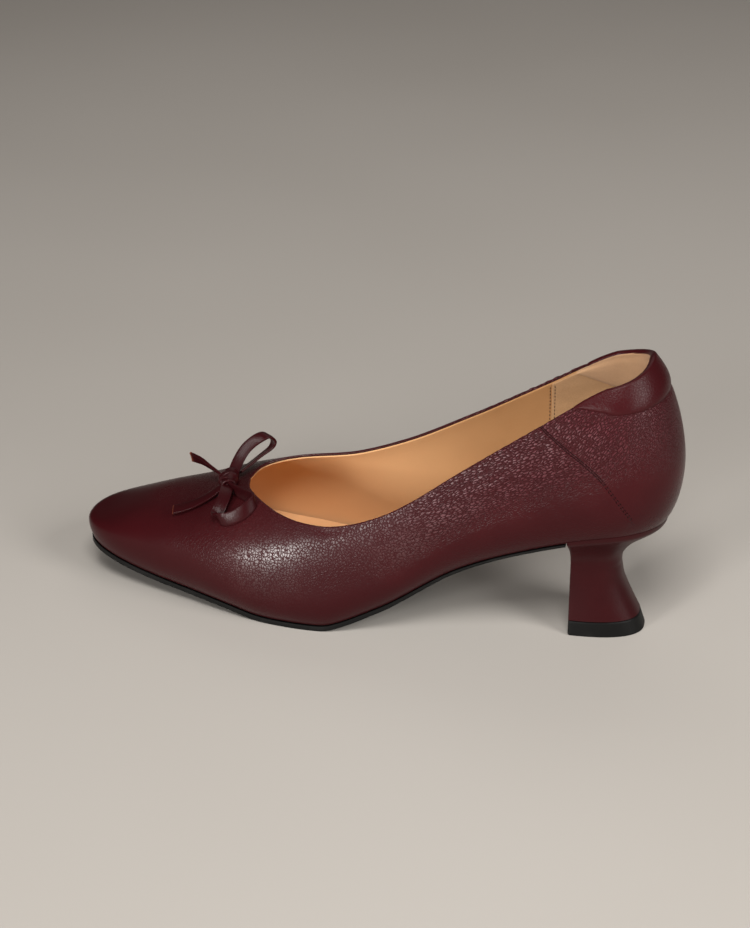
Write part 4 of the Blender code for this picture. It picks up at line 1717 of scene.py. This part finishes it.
@dataclass
class Heel:
    """The leather-wrapped flared heel and its top lift."""

    last: Last
    square: float = 2.5
    steps: tuple = (92, 36, 12, 48)
    breast_steps: int = 20
    flare_rows: int = 26
    stem_rows: int = 28
    lift_rows: int = 6
    corner: float = 0.9 * MM
    lift_edge: float = 0.5 * MM
    corner_angle: float = 48.0
    lift_angle: float = 60.0
    breast_place: float = 2.0
    seat_gap: float = 0.06 * MM
    seat_share: float = 0.02
    seat_lap: float = 0.10 * MM

    def outline(self) -> tuple[Array, Array]:
        """The seat's ring under the leather.

        Returns:
            The ring's points and the signed angle of each one round the D-sections.
        """
        strips = self.last.ring(self.steps, self.breast_place)
        seat = self.last.wall(strips, np.array([self.seat_share]))[:, 0] - self.last.shift
        seat[:, :2] -= strips.inward * self.seat_lap
        seat[0, 0] = seat[-1, 0] = self.front
        seat[:, 2] -= self.seat_gap
        across = np.abs(seat[:, 1]) / abs(seat[0, 1])
        behind = (self.front - seat[:, 0]) / (self.front - seat[:, 0].min())
        return seat, np.sign(seat[:, 1]) * np.arctan2(behind, across)

    @property
    def front(self) -> float:
        """X of the breast, from the heel's back."""
        return self.last.breast * self.last.length - self.last.gap

    def level(self, row: Stem, angle: Array) -> Array:
        """One level D-section of the stem.

        Args:
            row: Its height and sizes.
            angle: The signed angles of its points.

        Returns:
            The points.
        """
        length = self.last.length
        turn = np.abs(angle)
        x = self.front - (self.front - length * row.back) * np.sin(turn) ** (2.0 / self.square)
        y = np.sign(angle) * length * row.half_width * np.maximum(0.0, np.cos(turn)) ** (2.0 / self.square)
        return np.stack([x, y, np.full(len(x), self.last.heel_height * row.height)], axis=-1)

    def tube(self, name: str, levels: list[Array]) -> Piece:
        """Loft D-sections into a tube with a flat breast and rounded breast corners.

        Args:
            name: The piece's name.
            levels: The sections, from the top down.

        Returns:
            The piece.
        """
        share = np.linspace(0.0, 1.0, self.breast_steps + 1)[1:, None]
        rings = [np.concatenate([ring, ring[-1] * (1.0 - share) + ring[0] * share]) for ring in levels]
        piece = Bench.lay_grid(name, np.stack(rings, axis=1) + self.last.shift)
        Bench.bevel(piece, self.corner, 3, self.corner_angle)
        Bench.cap_ends(piece)
        return piece

    def build(self, leather: Material, rubber: Material) -> list[Piece]:
        """Model the heel and its lift.

        Args:
            leather: The heel's finish.
            rubber: The lift's finish.

        Returns:
            The pieces.
        """
        seat, angle = self.outline()
        neck = self.level(HEEL_STEM[0], angle)
        drops, blends = np.array(HEEL_FLARE).T
        levels = []
        for drop in np.linspace(0.0, 1.0, self.flare_rows + 1):
            ring = seat + (neck - seat) * hermite(np.array(drop), drops, blends)
            ring[:, 2] = seat[:, 2] + (neck[:, 2] - seat[:, 2]) * drop
            levels.append(ring)
        heights, backs, halves = np.array(HEEL_STEM[::-1]).T
        for height in np.linspace(heights[-1], heights[0], self.stem_rows + 1)[1:]:
            back, half = (hermite(np.array(height), heights, column) for column in (backs, halves))
            levels.append(self.level(Stem(height, back, half), angle))
        heel = self.tube("heel_cover", levels)
        top, foot = (np.array(row) for row in LIFT_STEM)
        lift = self.tube("top_lift_rubber", [self.level(Stem(*(top + (foot - top) * share)), angle)
                                             for share in np.linspace(0.0, 1.0, self.lift_rows + 1)])
        Bench.bevel(lift, self.lift_edge, 2, self.lift_angle)
        return [Bench.dress(heel, leather, Slot.HEEL, "heel"),
                Bench.dress(lift, rubber, Slot.SOLE, "top_lift")]


class Ribbon(NamedTuple):
    """A ribbon's route in millimetres from the knot: ahead, outward and above the vamp.

    Each way gives a share of the route and the way across the ribbon there: ahead, outward and off the vamp.
    """

    node: str
    route: tuple
    ways: tuple
    width: float
    cut: float


RIBBONS = (
    Ribbon("bow_loop_lateral",
           ((-1.0, 6.0, 3.9), (-2.0, 11.9, 3.9), (-2.1, 16.3, 3.6), (-1.5, 20.0, 3.3), (-1.0, 22.6, 3.0),
            (-3.6, 24.8, 2.9), (-8.2, 25.2, 2.9), (-12.8, 23.7, 2.9), (-15.4, 20.3, 2.9), (-13.6, 18.0, 2.8),
            (-9.4, 15.0, 2.8), (-5.2, 11.6, 2.8), (-2.4, 8.0, 2.8)),
           ((0.00, 0.90, 0.05, 0.35), (0.25, 0.88, 0.05, 0.45), (0.38, 0.40, -0.25, 0.88),
            (0.50, -0.05, -0.30, 0.95), (0.80, -0.10, -0.20, 0.97), (1.00, 0.00, 0.00, 1.00)), 5.2, 0.0),
    Ribbon("bow_loop_medial",
           ((-1.0, -1.5, 3.6), (-2.1, -7.4, 6.9), (-4.2, -11.6, 9.8), (-7.8, -15.0, 11.7),
            (-11.2, -17.4, 11.9), (-13.7, -18.8, 9.2), (-13.0, -17.8, 6.2), (-9.8, -14.0, 4.4),
            (-6.4, -9.0, 3.2), (-3.0, -3.5, 2.6)),
           ((0.00, 0.80, 0.00, 0.60), (0.36, 0.80, -0.10, 0.56), (0.52, 0.62, -0.60, 0.30),
            (0.70, 0.50, -0.80, -0.10), (1.00, 0.45, -0.85, -0.20)), 4.6, 0.0),
    Ribbon("bow_tail_lateral",
           ((1.6, 5.6, 2.2), (5.6, 9.8, 1.9), (11.2, 12.4, 1.8), (16.4, 13.4, 1.9), (20.4, 13.6, 2.1)),
           ((0.00, -0.30, 0.94, -0.10), (1.00, -0.15, 0.90, -0.35)), 4.6, 0.5),
    Ribbon("bow_tail_medial",
           ((2.0, -0.6, 3.0), (9.0, -5.9, 6.6), (14.4, -9.5, 9.6), (20.2, -13.0, 11.5)),
           ((0.00, -0.10, 0.70, 0.55), (1.00, -0.45, 0.30, 0.70)), 4.6, 1.8),
)


class Strand(NamedTuple):
    """A turn of ribbon round the knot, in millimetres: half sizes, turn in degrees, width and shift."""

    ahead: float
    high: float
    turn: float
    width: float
    aside: float


STRANDS = (Strand(3.0, 3.0, 8.0, 4.4, -3.3), Strand(3.2, 2.8, -14.0, 4.2, 0.5),
           Strand(2.7, 2.4, 12.0, 3.6, 3.8), Strand(3.5, 3.3, 42.0, 2.8, -1.4))


@dataclass
class Bow:
    """The narrow leather bow on the vamp."""

    last: Last
    station: float = 0.746
    aside: float = 2.5 * MM
    thickness: float = 1.0 * MM
    edge: float = 0.3 * MM
    lift: float = 3.0 * MM
    knot_ahead: float = -0.9 * MM
    knot_outward: float = 3.4 * MM
    steps: int = 80
    columns: int = 6
    cup: float = 0.25 * MM
    core: tuple = (2.6 * MM, 5.8 * MM, 2.3 * MM)
    turn_points: int = 49
    slope_step: float = 0.01

    def seat(self) -> tuple[Array, Array]:
        """Where the knot sits.

        Returns:
            The place, and the ways ahead, outward and off the vamp as rows.
        """
        x = self.station * self.last.length
        y = float(self.last.ridge(np.array(x))) + self.aside
        step = self.slope_step * self.last.length
        base, front, beside = (self.above(np.array(x + ahead), np.array(y + out), 0.0)
                               for ahead, out in ((0.0, 0.0), (step, 0.0), (0.0, step)))
        ahead = unit(front - base)
        off = unit(np.cross(ahead, beside - base))
        return base, np.stack([ahead, np.cross(off, ahead), off])

    def above(self, x: Array, y: Array, lift: Array) -> Array:
        """Points above the vamp's face."""
        return np.stack([x, y, self.last.height(x, y) + lift], axis=-1) + self.last.shift

    def ribbon(self, name: str, line: Array, across: Array, width: float, cut: Array) -> Piece:
        """Sweep a ribbon's cupped section along a line.

        Args:
            name: The piece's name.
            line: Points of its middle line.
            across: The way across it at each point.
            width: Its width.
            cut: 1 where it shows its cut edge, 0 elsewhere.

        Returns:
            The piece.
        """
        tangent = unit(np.gradient(line, axis=0))
        if np.allclose(line[0], line[-1]):
            tangent[0] = tangent[-1] = unit(line[1] - line[-2])
        way = unit(across - tangent * np.sum(across * tangent, axis=-1, keepdims=True))
        face = np.cross(tangent, way)
        share = np.linspace(-0.5, 0.5, self.columns + 1)
        bow = self.cup * (1.0 - 4.0 * share**2)
        points = line[:, None] + way[:, None] * (width * share)[None, :, None]
        points = points + face[:, None] * bow[None, :, None]
        piece = Bench.lay_grid(name, points, {"cut": np.repeat(cut[:, None], self.columns + 1, axis=1)})
        Bench.thicken(piece, self.thickness, 0.0, self.edge)
        return piece

    def build(self, leather: Material) -> list[Piece]:
        """Model the loops, tails and knot.

        Args:
            leather: The bow's finish.

        Returns:
            The pieces.
        """
        base, axes = self.seat()
        origin = base - self.last.shift
        made = []
        for ribbon in RIBBONS:
            rows = np.array(ribbon.route) * MM
            steps = np.arange(len(rows), dtype=float)
            places = np.linspace(0.0, steps[-1], self.steps + 1)
            ahead, outward, lift = (hermite(places, steps, column) for column in rows.T)
            line = self.above(origin[0] + ahead, origin[1] + outward, lift)
            left = lengths_along(line[None, ::-1])[0, ::-1]
            cut = ease(1.0 - left / (ribbon.cut * MM)) if ribbon.cut else np.zeros(len(line))
            shares, *ways = np.array(ribbon.ways).T
            across = np.stack([hermite(places / steps[-1], shares, way) for way in ways], axis=-1) @ axes
            piece = self.ribbon(ribbon.node.replace("bow", "ribbon"), line, across, ribbon.width * MM, cut)
            made.append(Bench.dress(piece, leather, Slot.BOW, ribbon.node, smooth=SOFT_ANGLE))
        centre = self.above(origin[0] + self.knot_ahead, origin[1] + self.knot_outward, self.lift)
        made.append(self.knot(centre, axes, leather))
        return made

    def knot(self, centre: Array, axes: Array, leather: Material) -> Piece:
        """Model turns of ribbon round a rounded core.

        Args:
            centre: The knot's middle.
            axes: The ways ahead, outward and off the vamp.
            leather: The bow's finish.

        Returns:
            The piece.
        """
        ahead, outward, off = axes
        turn = np.linspace(0.0, 2.0 * math.pi, self.turn_points)[:, None]
        turns = []
        for strand in STRANDS:
            angle = math.radians(strand.turn)
            long_way = ahead * math.cos(angle) + outward * math.sin(angle)
            wide_way = outward * math.cos(angle) - ahead * math.sin(angle)
            line = centre + wide_way * strand.aside * MM + np.cos(turn) * long_way * strand.ahead * MM
            line = line + np.sin(turn) * off * strand.high * MM
            turns.append(self.ribbon("turn", line, wide_way, strand.width * MM, np.zeros(len(line))))
        Bench.clear()
        bpy.ops.mesh.primitive_uv_sphere_add(segments=24, ring_count=14, radius=1.0)
        core = bpy.context.object
        for vertex in core.data.vertices:
            x, y, z = np.array(vertex.co) * self.core
            vertex.co = Vector(centre + ahead * x + outward * y + off * z)
        piece = Bench.join("ribbon_knot", [*turns, core])
        return Bench.dress(piece, leather, Slot.BOW, "bow_knot", smooth=SOFT_ANGLE)


class Lamp(NamedTuple):
    """A soft light: where it hangs, its sides and its power."""

    name: str
    place: tuple
    size: tuple
    power: float
    colour: tuple


LAMPS = (
    Lamp("key_low_toe_side", (0.61, 1.13, 0.26), (0.24, 0.36), 12.0, (1.0, 0.97, 0.94)),
    Lamp("window_low", (0.22, 1.28, 0.10), (0.5, 0.18), 2.2, (1.0, 0.97, 0.94)),
    Lamp("high_camera_side", (-0.12, 0.66, 1.13), (0.5, 0.5), 10.5, (1.0, 0.97, 0.94)),
    Lamp("behind_heel", (-1.02, 0.44, 0.80), (0.5, 0.5), 6.5, (1.0, 0.97, 0.94)),
    Lamp("low_behind_heel", (-1.10, 0.58, 0.36), (0.6, 0.5), 5.0, (1.0, 0.97, 0.95)),
    Lamp("fill_inner_side", (0.1, -0.9, 1.1), (1.2, 0.8), 2.4, (1.0, 0.93, 0.88)),
)


@dataclass
class Studio:
    """Pale floor, soft lights and the camera at the photograph's angle."""

    eye: Vector = field(default_factory=lambda: Vector((-0.1539, 0.7241, 0.4387)))
    lens: float = 63.85
    zoom: float = 1.26
    sensor: float = 36.0
    floor_size: float = 9.0
    ambient: float = 0.034
    ambient_colour: Colour = (1.0, 0.87, 0.80, 1.0)

    def build(self, paper: Material) -> None:
        """Set the floor, lights, world and camera.

        Args:
            paper: The floor's finish.
        """
        low, high = CAD_BOX
        aim = (low + high) / 2.0
        Bench.clear()
        bpy.ops.mesh.primitive_plane_add(size=self.floor_size, location=(0.0, 0.0, low.z))
        floor = bpy.context.object
        floor.name = "floor"
        Bench.edit("subdivide", number_cuts=3)
        floor.data.materials.append(paper)
        for lamp in LAMPS:
            bpy.ops.object.light_add(type="AREA", location=lamp.place)
            light = bpy.context.object
            light.name = lamp.name
            light.rotation_euler = (aim - Vector(lamp.place)).to_track_quat("-Z", "Y").to_euler()
            light.data.shape = "RECTANGLE"
            light.data.size, light.data.size_y = lamp.size
            light.data.energy = lamp.power
            light.data.color = lamp.colour
        world = bpy.data.worlds.new("studio")
        world.use_nodes = True
        background = world.node_tree.nodes["Background"]
        background.inputs["Color"].default_value = self.ambient_colour
        background.inputs["Strength"].default_value = self.ambient
        bpy.context.scene.world = world
        bpy.context.scene.view_settings.view_transform = "Standard"
        bpy.ops.object.camera_add(location=self.eye)
        camera = bpy.context.object
        camera.name = "camera"
        camera.rotation_euler = (aim - self.eye).to_track_quat("-Z", "Y").to_euler()
        camera.data.sensor_width = self.sensor
        camera.data.lens = self.lens * self.zoom
        camera.data.clip_start = 0.01
        bpy.context.scene.camera = camera


def main() -> None:
    """Build the shoe and its studio."""
    logging.basicConfig(level=logging.INFO, format="%(name)s %(message)s")
    grained = GrainedLeather().material()
    smooth = SmoothLeather("heel_leather", (0.031, 0.0037, 0.0048, 1.0), (0.025, 0.0029, 0.0039, 1.0),
                           0.33).material()
    lace = SmoothLeather("bow_leather", (0.030, 0.0036, 0.0048, 1.0), (0.022, 0.0027, 0.0037, 1.0), 0.29,
                         relief=0.06 * MM, raw=(0.155, 0.038, 0.018, 1.0)).material()
    # The lining's lighter colour towards the front is painted light; the sock shares this finish.
    tan = SmoothLeather("tan_lining", (0.42, 0.221, 0.094, 1.0), (0.385, 0.198, 0.083, 1.0), 0.50,
                        painted_light_front=(0.78, 0.455, 0.223, 1.0)).material()
    beige = Nubuck("beige_nubuck", (0.46, 0.270, 0.131, 1.0), (0.36, 0.204, 0.095, 1.0)).material()
    peach = Nubuck("peach_nubuck", (0.485, 0.291, 0.160, 1.0), (0.416, 0.247, 0.131, 1.0)).material()
    rubber = Rubber("sole_rubber").material()
    dark_thread = Thread("burgundy_thread", (0.050, 0.0080, 0.0120, 1.0),
                         (0.022, 0.0035, 0.0055, 1.0)).material()
    brown_thread = Thread("brown_thread", (0.085, 0.040, 0.016, 1.0), (0.040, 0.018, 0.008, 1.0)).material()
    last = Last()
    upper = Upper(last)
    lining = Lining(last)
    upper.build(grained)
    lining.build(tan, beige)
    Collar(last).build(grained, peach)
    Stitching(last, upper, lining).build(dark_thread, brown_thread)
    Bottom(last).build(rubber, tan)
    Heel(last).build(smooth, rubber)
    Bow(last).build(lace)
    Studio().build(FloorPaper().material())


if __name__ == "__main__":
    main()
